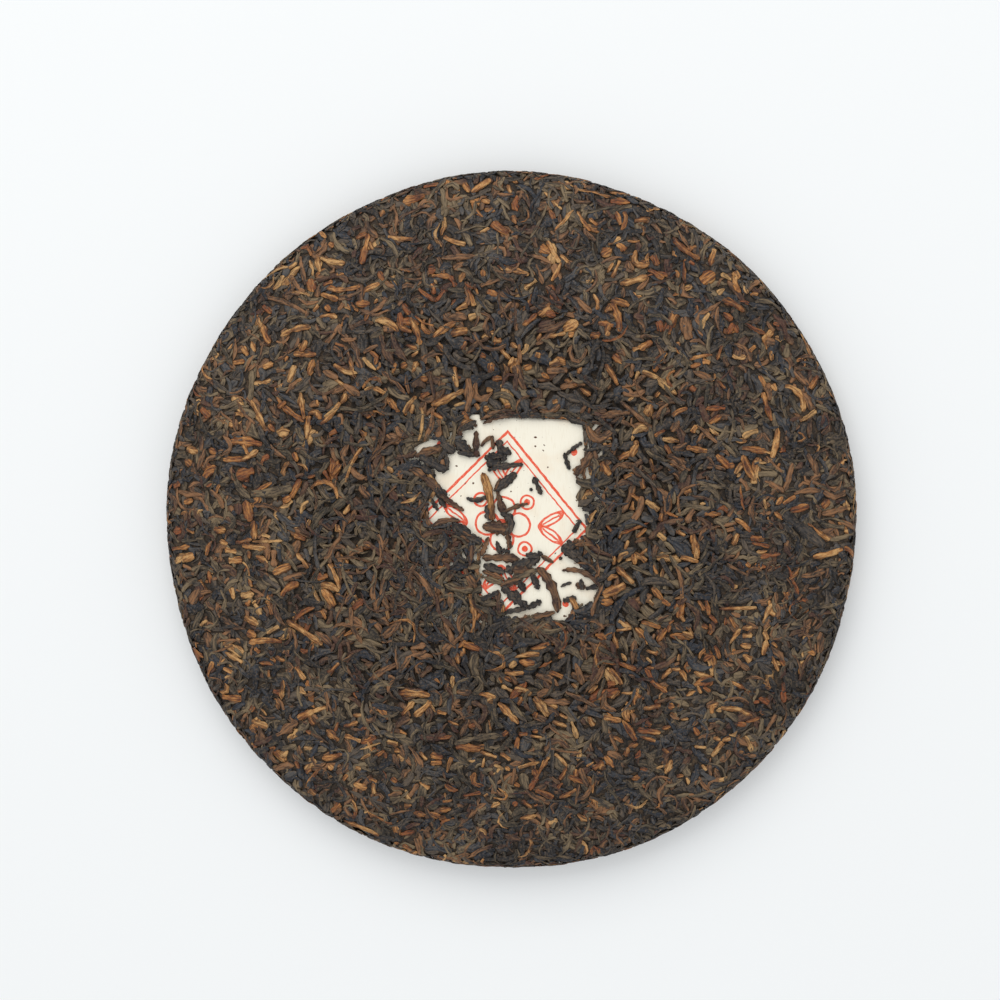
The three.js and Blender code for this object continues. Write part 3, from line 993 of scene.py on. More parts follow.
def leaf_material(kind):
    """Dry pressed leaf of one kind: its colour changes from leaf to leaf, streaks run along it, and painted
    shade darkens its edges.
    """
    name = kind + "_leaf"
    if name in bpy.data.materials:
        return bpy.data.materials[name]
    material, nodes, shader = new_material(name)
    tint, edge = (
        nodes.add("ShaderNodeAttribute", attribute_name=key).outputs["Fac"] for key in ("tint", "edge"))
    streaks = nodes.add("ShaderNodeGroup", {"Tint": tint}, node_tree=leaf_streaks())
    streak, mottle, height = (streaks.outputs[key] for key in ("Streak", "Mottle", "Height"))

    shift = nodes.step(streak, 0.0, 1.0, -STREAK_SHIFT, STREAK_SHIFT, smooth=False)
    place = nodes.add("ShaderNodeTexCoord").outputs["Object"]
    away = nodes.add(
        "ShaderNodeVectorMath", {0: place, 1: (*AXIS, 0)}, operation="DISTANCE").outputs["Value"]
    patch = nodes.math(
        "MULTIPLY", nodes.step(nodes.noise(place, PATCH_SCALE, 2.0), 0.35, 0.65, -1.0, 1.0),
        nodes.step(away, *PRESSED_RING, *PATCH_SHIFTS))
    stops = [(k / 3, colour) for k, colour in enumerate(LEAF_COLOURS[kind])]
    colour = nodes.ramp(nodes.math("ADD", nodes.math("ADD", tint, shift), patch), stops)

    # Darker between the streaks, which is the leaf's own colour, and along the edges and tips, which is
    # painted shade where leaves tuck under each other.
    between_streaks = nodes.step(streak, 0.0, 1.0, 0.85, 0.0, smooth=False)
    painted_edge_shade = nodes.step(edge, 0.6, 1.1, 0.0, 0.55)
    streak_dark_and_edge_shade = nodes.math(
        "SUBTRACT", nodes.math("MAXIMUM", between_streaks, painted_edge_shade),
        nodes.math("MULTIPLY", patch, PATCH_SHADE))
    streak_dark_and_edge_shaded = nodes.mix(streak_dark_and_edge_shade, colour, LEAF_STREAK_DARK_AND_EDGE_SHADE)
    dusty = nodes.mix(nodes.step(mottle, 0.45, 0.95, 0.0, 0.5), streak_dark_and_edge_shaded, LEAF_DUST)
    nodes.link(dusty, shader.inputs["Base Color"])

    roughness = bpy.context.scene.tea_leaves.roughness
    dull_to_smooth = nodes.step(streak, 0.0, 1.0, roughness + 0.12, roughness - 0.08, smooth=False)
    nodes.link(dull_to_smooth, shader.inputs["Roughness"])
    shader.inputs["Specular IOR Level"].default_value = 0.28
    roughen(nodes, shader, height, 0.75, 0.22 * MM)
    return material


def core_material():
    """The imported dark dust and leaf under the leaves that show."""
    material, nodes, shader = new_material("packed_core")
    place = nodes.add("ShaderNodeTexCoord").outputs["Object"]
    coarse, fine = nodes.noise(place, 700.0, 4.0, 0.7), nodes.noise(place, 1800.0, 3.0)
    colours = ((0.3, srgb(38, 36, 35)), (0.5, srgb(62, 54, 47)), (0.7, srgb(98, 78, 58)))
    nodes.link(nodes.ramp(coarse, colours), shader.inputs["Base Color"])
    nodes.link(nodes.step(fine, 0.3, 0.7, 0.7, 0.95), shader.inputs["Roughness"])
    shader.inputs["Specular IOR Level"].default_value = 0.2
    height = nodes.math("ADD", coarse, nodes.math("MULTIPLY", fine, 0.4))
    roughen(nodes, shader, height, 0.9, 0.5 * MM)
    return material


# The ticket's ornament, in millimetres from the ticket's middle, in the one quarter that the others mirror.
# Widths of its lines first.
OUTER_LINE, INNER_LINE, PETAL_LINE, BUD_LINE = 0.72, 0.42, 0.66, 0.6
LEAF_LINE, RIB_LINE = 0.62, 0.48
LINE_SOFTNESS = 0.06
DOT_SOFTNESS = 0.15

# The lozenge reaches so far, measured along its slope, and the inner line lies inside the outer one.
LOZENGE_SLOPE = (0.74, 0.67)
LOZENGE_REACH = 17.6
LOZENGE_GAP = 1.9

# The flower's petals, its heart, and the bud outside it. Then the leaves along each side, and the corner dot.
PETALS = ((4.4, 0.0), (0.0, 4.4))
PETAL_RADIUS = 3.3
HEART_RADIUS = 1.1
BUD = (6.6, 6.6)
BUD_RADIUS, BUD_HEART_RADIUS = 1.9, 0.8
LEAF_SLANT = math.radians(34)
LEAF_FROM_LINE = 2.1
LEAF_HALVES = (3.6, 1.25)
LEAF_PLACES = (13.6, 15.2)
CORNER_DOT = (19.0, 21.5)
CORNER_DOT_RADIUS = 0.9

# How far the print's lines waver, and how many blotches of thin ink it has to a millimetre.
WAVER = (0.5, 0.5, 0.5)
WAVER_SCALE = 0.5
THIN_INK_SCALE = 2.2


def printed_line(nodes, distance, width):
    """A mask that is 1 within half a width of where the distance is 0, all in millimetres."""
    away = nodes.math("ABSOLUTE", distance)
    return nodes.step(away, width / 2 - LINE_SOFTNESS, width / 2 + LINE_SOFTNESS, 1.0, 0.0)


def ticket_print(turn):
    """A plain ornament: a double lozenge round a four-petalled flower, with leaves towards each corner."""
    nodes, _, out = node_group("Ticket print", {}, {"Ink": "NodeSocketFloat"})
    place = nodes.add("ShaderNodeTexCoord").outputs["Object"]
    middle = (AXIS[0] + TICKET_FROM_AXIS[0], AXIS[1] + TICKET_FROM_AXIS[1], 0)
    moved = nodes.add("ShaderNodeVectorMath", {0: place, 1: middle}, operation="SUBTRACT").outputs[0]
    upright = nodes.add(
        "ShaderNodeVectorRotate", {"Vector": moved, "Angle": -turn}, rotation_type="Z_AXIS").outputs[0]
    scaled = nodes.add(
        "ShaderNodeVectorMath", {0: upright, "Scale": 1 / MM}, operation="SCALE").outputs[0]
    cloud = nodes.add(
        "ShaderNodeTexNoise", {"Vector": scaled, "Scale": WAVER_SCALE, "Detail": 1.0}).outputs["Color"]
    centred = nodes.add(
        "ShaderNodeVectorMath", {0: cloud, 1: (0.5, 0.5, 0.5)}, operation="SUBTRACT").outputs[0]
    wavering = nodes.add(
        "ShaderNodeVectorMath", {0: centred, 1: WAVER, 2: scaled}, operation="MULTIPLY_ADD").outputs[0]
    sides = nodes.add("ShaderNodeSeparateXYZ", {0: wavering}).outputs
    x, y = nodes.math("ABSOLUTE", sides[0]), nodes.math("ABSOLUTE", sides[1])

    def weighed(operation, a, a_share, b, b_share):
        return nodes.math(
            operation, nodes.math("MULTIPLY", a, a_share), nodes.math("MULTIPLY", b, b_share))

    def from_point(px, py):
        return nodes.distance(nodes.math("SUBTRACT", x, px), nodes.math("SUBTRACT", y, py))

    def circle(middle, radius, width):
        return printed_line(nodes, nodes.math("SUBTRACT", from_point(*middle), radius), width)

    def dot(middle, radius):
        return nodes.step(from_point(*middle), radius, radius + DOT_SOFTNESS, 1.0, 0.0)

    def slanted_leaf(along, across, at):
        """One leaf at a slant beside the line, with its rib."""
        a, b = nodes.math("SUBTRACT", along, at), nodes.math("SUBTRACT", across, LEAF_FROM_LINE)
        cosine, sine = math.cos(LEAF_SLANT), math.sin(LEAF_SLANT)
        length, width = weighed("ADD", a, cosine, b, sine), weighed("SUBTRACT", b, cosine, a, sine)
        ellipse = nodes.distance(
            nodes.math("DIVIDE", length, LEAF_HALVES[0]), nodes.math("DIVIDE", width, LEAF_HALVES[1]))
        past_outline = nodes.math("MULTIPLY", nodes.math("SUBTRACT", ellipse, 1.0), 1.4)
        rib = nodes.math(
            "MULTIPLY", printed_line(nodes, width, RIB_LINE), nodes.step(ellipse, 0.7, 0.9, 1.0, 0.0))
        return nodes.math("MAXIMUM", printed_line(nodes, past_outline, LEAF_LINE), rib)

    lozenge = nodes.math(
        "SUBTRACT", weighed("ADD", x, LOZENGE_SLOPE[0], y, LOZENGE_SLOPE[1]), LOZENGE_REACH)
    ink = printed_line(nodes, lozenge, OUTER_LINE)
    for mark in (
        printed_line(nodes, nodes.math("ADD", lozenge, LOZENGE_GAP), INNER_LINE),
        *(circle(petal, PETAL_RADIUS, PETAL_LINE) for petal in PETALS),
        dot((0.0, 0.0), HEART_RADIUS),
        dot(BUD, BUD_HEART_RADIUS),
        circle(BUD, BUD_RADIUS, BUD_LINE),
        slanted_leaf(x, y, LEAF_PLACES[0]),
        slanted_leaf(y, x, LEAF_PLACES[1]),
        dot(CORNER_DOT, CORNER_DOT_RADIUS),
    ):
        ink = nodes.math("MAXIMUM", ink, mark)
    patchy = nodes.step(nodes.noise(scaled, THIN_INK_SCALE, 4.0, 0.7), 0.30, 0.55, 0.75, 1.0)
    nodes.link(nodes.math("MULTIPLY", ink, patchy), out["Ink"])
    return nodes.tree


# The directions of the paper's fibres in radians, how fine they are, and how much longer than wide.
FIBRE_TURNS = (0.3, 1.9)
FIBRE_SCALE = 2600.0
FIBRE_STRETCH = (1.0, 0.12, 1.0)

# The paper's stains and specks: how many to a metre, and their colours. Then the colour of its fibres.
STAIN_SCALE, SPECK_SCALE = 130.0, 850.0
STAIN, SPECK = srgb(240, 222, 196), srgb(92, 62, 44)
FIBRE = srgb(226, 214, 190)


def paper_material(ticket):
    """Thin handmade paper with fibres, faint stains and a red print."""
    material, nodes, shader = new_material("ticket_paper")
    place = nodes.add("ShaderNodeTexCoord").outputs["Object"]

    def fibres(turn):
        stretched = nodes.add(
            "ShaderNodeMapping", {"Vector": place, "Rotation": (0, 0, turn), "Scale": FIBRE_STRETCH})
        return nodes.noise(stretched.outputs[0], FIBRE_SCALE, 2.0)

    fibre = nodes.math("MAXIMUM", *(fibres(turn) for turn in FIBRE_TURNS))
    stain = nodes.noise(place, STAIN_SCALE, 3.0)
    speck = nodes.noise(place, SPECK_SCALE, 0.0)
    ink = nodes.add("ShaderNodeGroup", node_tree=ticket_print(ticket.turn)).outputs["Ink"]
    stained = nodes.mix(nodes.step(stain, 0.45, 0.75, 0.0, 0.55), (*ticket.paper, 1.0), STAIN)
    fibrous = nodes.mix(nodes.step(fibre, 0.55, 0.8, 0.0, 0.4), stained, FIBRE)
    printed = nodes.mix(ink, fibrous, (*ticket.ink, 1.0))
    nodes.link(nodes.mix(nodes.step(speck, 0.79, 0.82), printed, SPECK), shader.inputs["Base Color"])
    nodes.link(nodes.step(fibre, 0.4, 0.8, 0.95, 0.8), shader.inputs["Roughness"])
    shader.inputs["Specular IOR Level"].default_value = 0.2
    roughen(nodes, shader, fibre, 0.35, 0.1 * MM)
    return material


# Making pieces by hand

def deselect():
    """Leaves nothing selected, in object mode."""
    if bpy.context.mode != "OBJECT":
        bpy.ops.object.mode_set(mode="OBJECT")
    bpy.ops.object.select_all(action="DESELECT")


def only(piece):
    """Selects this piece alone."""
    deselect()
    piece.select_set(True)
    bpy.context.view_layer.objects.active = piece


def points_of(piece):
    """The points of a piece, one in a row."""
    points = np.zeros(len(piece.data.vertices) * 3, np.float32)
    piece.data.vertices.foreach_get("co", points)
    return points.reshape(-1, 3).astype(float)


def put_points(piece, points):
    """Moves the points of a piece to these places."""
    piece.data.vertices.foreach_set("co", points.astype(np.float32).ravel())
    piece.data.update()


def apply_modifier(piece, kind, **values):
    """Works on a piece with a modifier and makes the result final."""
    only(piece)
    modifier = piece.modifiers.new(kind.title(), kind)
    for name, value in values.items():
        setattr(modifier, name, value)
    bpy.ops.object.modifier_apply(modifier=modifier.name)


# The ticket's sheet: faces along a side, and how uneven the paper lies, with how many bumps to a metre.
SHEET_STEPS = 60
SHEET_UNEVEN = 0.1 * MM
SHEET_BUMPS = 130


def ticket_sheet(name, skin, ticket):
    """A sheet of the ticket's size that follows the dome at the ticket's depth."""
    deselect()
    bpy.ops.mesh.primitive_grid_add(
        x_subdivisions=SHEET_STEPS, y_subdivisions=SHEET_STEPS, size=1, location=(0, 0, 0))
    sheet = bpy.context.object
    sheet.name = sheet.data.name = name
    bpy.ops.transform.resize(value=(ticket.width, ticket.height, 1))
    bpy.ops.object.transform_apply(location=False, rotation=False, scale=True)
    points = points_of(sheet)
    points = points @ np.array(Matrix.Rotation(ticket.turn, 3, "Z")).T + (*TICKET_FROM_AXIS, 0)
    uneven = np.array([noise.noise(Vector((x, y, 0)) * SHEET_BUMPS) for x, y, _ in points])
    level = face_height(skin, points[:, 0], points[:, 1]) - ticket.depth
    points[:, 2] = level - SHEET_UNEVEN + SHEET_UNEVEN * uneven
    put_points(sheet, points + (*AXIS, 0))
    apply_modifier(sheet, "SOLIDIFY", thickness=ticket.thickness, offset=-1.0)
    return sheet


# The core lies this far under the lowest leaves, in the middle and in the pressed ring.
CORE_UNDER = (0.45 * MM, 0.15 * MM)

# Points of the core's section closer together than this are left out. It is spun in so many steps.
CORE_LEAST_STEP = 0.3 * MM
CORE_STEPS = 128

# How rough the core is, with how many bumps to a metre, and how far it stays over the floor before and after.
CORE_ROUGH = 0.25 * MM
CORE_BUMPS = 420
CORE_LOWEST = (0.6 * MM, 0.5 * MM)


class TEA_OT_press_core(bpy.types.Operator):
    """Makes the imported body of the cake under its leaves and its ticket"""

    bl_idname = "tea_cake.press_core"
    bl_label = "Press Core"
    bl_options = {"REGISTER", "UNDO"}

    def execute(self, context):
        cake, leaves, _, _ = settings()
        skin = Skin(cake_section(cake), 1)
        to_a_middle = np.minimum(skin.along, skin.reach - skin.along)
        depth = np.interp(
            to_a_middle, PRESSED_RING,
            (leaves.bed_depth + CORE_UNDER[0], leaves.rim_bed_depth + CORE_UNDER[1]))
        inset = skin.section - skin.out * depth[:, None]
        inset[[0, -1], 0] = 0
        inset = inset[
            np.concatenate([[True], np.hypot(*np.diff(inset, axis=0).T) > CORE_LEAST_STEP])]
        inset[-1, 0] = 0
        inset[:, 1] = inset[:, 1].clip(CORE_LOWEST[0], None)
        mesh = bpy.data.meshes.new("packed_core")
        mesh.from_pydata(
            [(r, 0, z) for r, z in inset], [(k, k + 1) for k in range(len(inset) - 1)], [])
        core = bpy.data.objects.new("packed_core", mesh)
        context.scene.collection.objects.link(core)
        only(core)
        bpy.ops.object.mode_set(mode="EDIT")
        bpy.ops.mesh.select_all(action="SELECT")
        bpy.ops.mesh.spin(steps=CORE_STEPS, angle=2 * math.pi, center=(0, 0, 0), axis=(0, 0, 1))
        bpy.ops.mesh.select_all(action="SELECT")
        bpy.ops.mesh.remove_doubles(threshold=0.01 * MM)
        bpy.ops.mesh.normals_make_consistent(inside=False)
        bpy.ops.object.mode_set(mode="OBJECT")
        points = points_of(core)
        wave = outline_at(np.arctan2(points[:, 1], points[:, 0]))[:, None]
        points[:, :2] = points[:, :2] * wave + AXIS
        rough = np.array([noise.noise(Vector(point) * CORE_BUMPS) for point in points])
        points[:, 2] = (points[:, 2] + CORE_ROUGH * rough).clip(CORE_LOWEST[1], None)
        put_points(core, points)
        core.data.shade_smooth()
        core.data.materials.append(core_material())
        carried(core, "pressed_tea")
        return {"FINISHED"}


class TEA_OT_lay_face_leaves(bpy.types.Operator):
    """Lays the leaves of the face and the rim, and those on the ticket, one piece for each kind"""

    bl_idname = "tea_cake.lay_face_leaves"
    bl_label = "Lay Face Leaves"
    bl_options = {"REGISTER", "UNDO"}

    def execute(self, context):
        cake, leaves, ticket, _ = settings()
        pile = face_pile(cake, leaves, ticket)
        lay_ticket_leaves(pile)
        seen = pile.seen()
        rng = np.random.default_rng(leaves.seed + 2)
        for index, kind in enumerate(KINDS):
            of_kind = [leaf for leaf in seen if leaf.kind == index]
            bulk = [leaf for leaf in of_kind if not leaf.on_ticket]
            leaf_piece(kind + "_leaves_face", bulk, pile.skin, rng, kind, "pressed_tea")
            on_ticket = [leaf for leaf in of_kind if leaf.on_ticket]
            if on_ticket:
                leaf_piece(
                    kind + "_leaves_ticket", on_ticket, pile.skin, rng, kind, "inner_ticket",
                    FINE_RING_COUNTS)
        return {"FINISHED"}


class TEA_OT_lay_back_leaves(bpy.types.Operator):
    """Lays the leaves of the back and its dimple, one piece for each kind"""

    bl_idname = "tea_cake.lay_back_leaves"
    bl_label = "Lay Back Leaves"
    bl_options = {"REGISTER", "UNDO"}

    def execute(self, context):
        cake, leaves, _, _ = settings()
        pile = back_pile(cake, leaves)
        seen = pile.seen()
        rng = np.random.default_rng(leaves.seed + 3)
        for index, kind in enumerate(KINDS):
            of_kind = [leaf for leaf in seen if leaf.kind == index]
            leaf_piece(kind + "_leaves_back", of_kind, pile.skin, rng, kind, "pressed_tea")
        return {"FINISHED"}


# The leaves that stand out on the face, by kind, in the same terms as those on the ticket below.
GOLDEN_LANDMARKS = (
    (46.5, 81.4, 54.3, 75.1, 2, 35, 0.5), (10.3, 80.5, 14, 73.9, 1.5, 10, 0.35),
    (14.3, 74.2, 11.4, 68.7, 1.5, -25, 0.3), (8, 78.5, 11.4, 76.8, 2.7, 0, 0.15),
    (14, 76.5, 16.6, 73.9, 1.4, 0, 0.4), (18.9, 88.9, 22.9, 83.1, 1.5, 15, 0.3),
    (22.3, 86.9, 24.9, 84.8, 1.4, 10, 0.3), (10.8, 89.4, 12.3, 86.3, 1.7, -30, 0.1),
    (28.4, 91.7, 34.4, 91.5, 2, -10, 0.1), (30.1, 88.9, 31.5, 84.8, 1.7, 0, 0.35),
    (32.4, 88.9, 31.5, 83.4, 1.5, -70, 0.4), (35.3, 85.7, 39.3, 86.3, 1.7, -50, 0.5),
    (25.8, 75.9, 29, 78.2, 2.4, 0, 0.4), (30.1, 79.4, 32.7, 77.4, 2, -60, 0.2),
    (29, 69.6, 31.3, 74.8, 1.5, 0, 0.5), (27.5, 71, 29.5, 74.2, 1, 0, 0.4),
    (31.3, 67.9, 39.3, 70.2, 1.9, 10, 0.5), (39, 70.2, 45.1, 70.2, 1.4, -60, 0.3),
    (39.3, 72.2, 43.9, 69.3, 2, -10, 0.4), (40.8, 76.5, 42.2, 73.1, 2.4, 0, 0.4),
    (33.3, 80.5, 37.3, 80.5, 1.4, 50, 0.6), (26.9, 59.8, 30.4, 63, 1.7, 0, 0.6),
    (28.4, 63, 34.1, 61.5, 1.7, -30, 0.5), (28.7, 62.4, 31, 54.1, 1.9, -45, 0.4),
    (24.9, 56.7, 29.5, 55.8, 1.4, -15, 0.35), (27.2, 53.5, 28.4, 56.9, 1.4, 0, 0.6),
    (14.9, 54.6, 19.2, 57.2, 2.4, 0, 0.4), (9.7, 59.8, 12.9, 58.7, 2.4, 0, 0.15),
    (3.1, 56.1, 7.4, 59.5, 1.5, 20, 0.3), (22.6, 52.6, 25.8, 53.8, 2, 0, 0.1),
    (42.2, 57.5, 43.1, 54.1, 1.9, -20, 0.15), (-64.2, 72.2, -61.6, 74.2, 1.7, 0, 0.5),
    (-72, 68.7, -64.2, 72.8, 1, -30, 0.8), (-68.8, 66.4, -65.7, 70.5, 1.7, 60, 0.85),
    (-57.9, 69.6, -57, 65.6, 2.4, 0, 0.2), (-55.9, 75.9, -55, 71.3, 2, 10, 0.5),
    (-55, 75.4, -47.8, 73.9, 1.7, 20, 0.6), (-71.4, 56.4, -69.4, 50.9, 2.2, 45, 0.3),
    (-66.5, 52.9, -57.6, 55.5, 2, -35, 0.45), (-71.7, 61.8, -68.8, 59.5, 2, 0, 0.1),
    (-54.4, 67.6, -51.3, 68.7, 1.7, 0, 0.4), (-55, 65, -49.8, 63.3, 1.7, -10, 0.45),
    (-52.7, 67.3, -49.3, 65.6, 1.7, 0, 0.2), (-57, 59.8, -55.6, 62.1, 1.7, 0, 0.5),
    (-55.3, 58.1, -50.1, 58.1, 1.4, -70, 0.5), (-53.6, 61.8, -52.1, 60.1, 1.4, 0, 0.2),
    (-55.3, 83.1, -53.3, 81.1, 1.4, 0, 0.4), (-52.7, 79.7, -51, 78.8, 2, 0, 0.1),
    (-60.8, 78.2, -58.2, 78.8, 1.4, -20, 0.1), (-58.8, 78.8, -57.3, 75.9, 1.4, -10, 0.3),
    (-41.2, 82.5, -43.2, 73.6, 2.4, -8, 0.35), (-45, 81.1, -41.5, 82.5, 1.5, 0, 0.4),
    (-41.2, 80.2, -39.8, 77.7, 1.4, 0, 0.5), (-25.4, 95.8, -20.8, 96.9, 1.7, 0, 0.1),
    (-31.4, 91.5, -24.8, 93.5, 2.7, 15, 0.15), (-11.6, 94.3, -5.8, 98.1, 1.7, 0, 0.35),
    (-13.9, 97.2, -11.9, 94.3, 1.7, 0, 0.3), (-1.2, 96.6, -0.1, 94, 2, 0, 0.5),
    (2.2, 93.2, 1.9, 88.9, 2, 100, 0.2), (0.2, 87.7, 1.4, 85.1, 2, -10, 0.6),
    (-5.6, 85.7, -0.7, 82.5, 2.4, 20, 0.15), (-19.6, 81.7, -13, 79.4, 1.9, 25, 0.65),
    (-23.7, 77.7, -22.8, 79.4, 1.7, 0, 0.7), (-37.5, 87.1, -36.9, 89.4, 1.7, 0, 0.6),
    (-24, 71.9, -21.7, 72.2, 2.7, 0, 0.1), (-23.1, 70.2, -17.1, 69.9, 1.5, -20, 0.35),
    (-17.6, 70.2, -15.9, 67, 1.7, 0, 0.1), (-22.2, 69.3, -21.4, 67.9, 0.7, 0, 1),
    (-8.4, 72.2, -7.9, 69.9, 2, 0, 0.45), (-26.8, 66.7, -21.1, 63, 1.4, 25, 0.05),
    (-21.7, 63, -19.1, 66.4, 1.4, 15, 0.15), (-12.7, 66.7, -10.7, 61.5, 1.7, -15, 0.4),
    (-16.2, 60.4, -12.5, 62.1, 2, 0, 0.45), (-12.5, 58.1, -9.9, 59, 2, 0, 0.85),
    (-7.3, 65.9, -3.8, 64.4, 1.7, -20, 0.2), (-53.3, 66.7, -43.5, 67.3, 1.7, 35, 0.55),
    (-42.7, 65.9, -37.8, 68.2, 2, 0, 0.4), (-38.3, 71.6, -36.6, 68.7, 1.5, 0, 0.3),
    (-45, 62.4, -40.6, 62.4, 2, 20, 0.15), (-39.2, 57.2, -32.6, 54.1, 2, -80, 0.6),
    (-32.3, 59.8, -31.7, 55.2, 1.7, -10, 0.15), (-33.2, 56.9, -28.6, 54.1, 1.7, 30, 0.5),
    (-29.4, 58.1, -26.3, 50.3, 2, -30, 0.55), (-17.6, 53.5, -12.5, 54.6, 2, -10, 0.5),
    (-31.4, 62.4, -29.1, 59, 1.7, 0, 0.3), (-5.3, 51.5, -2.7, 51.5, 2.4, 0, 0.15),
    (-80.9, 22.7, -71.7, 21.6, 2.4, -20, 0.1), (-77.2, 22.1, -75.7, 18.7, 1.4, 0, 0.3),
    (-83.2, 17.3, -76.6, 17.5, 1.7, -5, 0.1), (-78, 17, -72.8, 20.1, 2, 10, 0.55),
    (-79.2, 12.4, -74, 14.4, 3.4, 0, 0.35), (-88.4, 12.1, -85.5, 14.4, 2.7, -60, 0.25),
    (-89.5, 32.2, -86.7, 29.6, 2.4, 0, 0.15), (-87.2, 20.4, -84.9, 19, 1.7, -20, 0.3),
    (-93.6, 20.7, -90.1, 19.6, 2, 10, 0.6), (-94.1, 17.5, -92.1, 15.8, 2, 0, 0.4),
    (-97.3, 9.5, -95.3, 10.6, 1.7, 0, 0.1), (-94.4, 4.9, -91.5, 5.8, 1.7, 0, 0.1),
    (-74.9, 34.5, -70.8, 26.2, 1.7, 5, 0.45), (-70, 27.6, -68, 25.3, 1.7, 0, 0.1),
    (-67.1, 24.2, -64.2, 24.4, 2.7, -120, 0.65), (-60.8, 36, -59.6, 28.8, 2, 5, 0.55),
    (-65.7, 32.5, -59.6, 28.2, 2, 0, 0.4), (-67.4, 32.2, -64.8, 34.2, 1.7, 0, 0.3),
    (-59, 23, -58.2, 30.2, 1.7, -5, 0.55), (-58.2, 30.5, -55.3, 28.8, 1.7, -150, 0.55),
    (-55, 27.3, -49.3, 33.9, 1.7, 10, 0.5), (-52.7, 24.4, -50.1, 25.9, 1.7, 0, 0.2),
    (-80.3, 45.2, -76.6, 45.7, 1.7, 0, 0.1), (-71.7, 43.7, -68.5, 45.2, 2, 0, 0.2),
    (-64.2, 39.4, -62.2, 44.6, 1.9, -5, 0.55), (-58.2, 41.4, -57, 46.3, 1.7, 0, 0.4),
    (-62.8, 48, -57.9, 47.7, 1.7, 15, 0.4), (-60.8, 48.3, -59, 51.5, 2, 0, 0.3),
    (-77.5, 50, -75.7, 47.2, 1.7, 0, 0.3), (-74.9, 51.5, -73.7, 48.3, 1.4, 0, 0.3),
    (-62.8, 19.6, -61.6, 16.7, 1.7, 0, 0.35), (-63.6, 6.3, -60.8, 11.8, 1.7, 0, 0.05),
    (-65.9, 5.2, -63.4, 6.6, 1.7, 0, 0.05), (-74.6, 7.5, -68.8, 10.9, 1.4, 0, 0.3),
    (-76.6, 5.8, -75.1, -0.6, 3.1, 0, 0.35), (-54.2, 14.4, -52.1, 10.9, 1.7, 0, 0.1),
    (-51.9, 12.7, -49, 16.1, 1.7, 0, 0.3), (-58.8, 12.1, -56.2, 12.9, 1, 0, 0.3),
    (57.1, 73.1, 58.6, 78.2, 1.7, 0, 0.4), (54.6, 68.4, 58.6, 71.3, 3.1, 0, 0.25),
    (64.9, 71.6, 66.1, 65.3, 1.4, 85, 0.35), (64, 71.6, 65.5, 69.3, 2, 0, 0.4),
    (59.2, 65, 61.5, 66.7, 1.7, 0, 0.85), (60.6, 63.3, 67.2, 59.8, 2, -40, 0.5),
    (68.7, 64.7, 71.2, 65, 1.2, -50, 0.6), (60.9, 59.8, 63.8, 57.5, 1.9, 0, 0.35),
    (64, 56.9, 62.3, 53.5, 1.7, -10, 0.2), (64.3, 56.1, 65.2, 53.8, 1.5, 0, 0.3),
    (67.2, 56.7, 73.3, 53.5, 1.2, 15, 0.12), (75.3, 56.7, 77.3, 56.1, 1.7, 0, 0.1),
    (83.3, 53.8, 86.2, 47.2, 1.7, -10, 0.45), (68.4, 48.3, 70.4, 50.3, 1.5, 0, 0.25),
    (63.5, 47.5, 67.5, 47.5, 1.5, 100, 0.75), (59.2, 46, 60.6, 50.3, 1.7, 0, 0.3),
    (75, 45.7, 74.7, 48.9, 1.4, 0, 0.8), (51.4, 44, 54.6, 44.9, 1.2, 0, 0.15),
    (51.1, 46, 58, 47.5, 1, -25, 0.25), (54.8, 45.7, 57.4, 45.4, 1.7, 0, 0.2),
    (78.7, 38.5, 83.9, 31.1, 2.4, -105, 0.4), (85.9, 37.7, 88.2, 41.7, 1.5, 10, 0.15),
    (71.2, 41.7, 73, 38.3, 1.5, -10, 0.2), (75, 39.1, 76.4, 37.1, 1.7, 0, 0.2),
    (59.4, 40, 61.7, 37.7, 1.4, 0, 0.5), (72.4, 36.8, 75, 28.5, 1.7, 10, 0.15),
    (83.3, 28.5, 87.9, 31.6, 1.5, 10, 0.85), (51.4, 38.5, 53.1, 37.1, 2, 0, 0.15),
    (56.6, 27.6, 60.6, 30.2, 1.7, 0, 0.3), (55.7, 32.2, 61.7, 32.5, 1.7, 15, 0.1),
    (53.4, 27.3, 52, 24.7, 1.4, 30, 0.05), (66.6, 23.6, 71.2, 25.6, 2, -45, 0.85),
    (66.3, 20.7, 74.7, 19.3, 1.7, -10, 0.4), (76.7, 26.5, 75, 17.8, 2, -20, 0.35),
    (66.6, 18.7, 70.1, 11.2, 2, 15, 0.45), (58.9, 18.7, 62.9, 15, 2, -10, 0.1),
    (62.3, 15.5, 64.3, 15.8, 1.7, 0, 0.3), (50.2, 21, 56.6, 19.8, 1.7, 5, 0.45),
    (76.1, 4.3, 78.1, 6.9, 1.5, 30, 0.35), (78.1, 4.6, 81.9, 6.9, 1.4, 0, 0.35),
    (80.2, 2.6, 85.9, 4, 2, -10, 0.12), (89.4, 3.5, 91.7, 5.8, 2.4, 0, 0.3),
    (75.6, 2.3, 78.4, 0, 1.4, 0, 0.3), (85.3, -0.9, 91.7, -5.8, 1.4, 15, 0.25),
    (86.8, -10.6, 95.4, -8.3, 2, 20, 0.35), (95.7, -7.8, 98.8, -10.6, 1.7, -10, 0.35),
    (55.4, 1.7, 60.6, 1.7, 1.5, 10, 0.15), (54.3, 4.3, 56, 4.6, 0.8, -60, 0.9),
    (64.3, 0.3, 68.9, -3.7, 1.4, -40, 0.35), (52, -4, 53.7, -10.9, 2, 10, 0.2),
    (63.8, -7.5, 65.5, -3.7, 1.4, -20, 0.5), (68.7, -5.2, 71.5, -5.5, 1.4, 0, 0.35),
    (69.2, -6.6, 74.4, -7.8, 1.4, -10, 0.3), (71.5, -10.6, 77.6, -9.8, 1.7, 0, 0.2),
    (67.5, -12.4, 68.9, -13.5, 1.4, 0, 0.2), (-85.8, -2.9, -82.1, -2.9, 2.4, 0, 0.6),
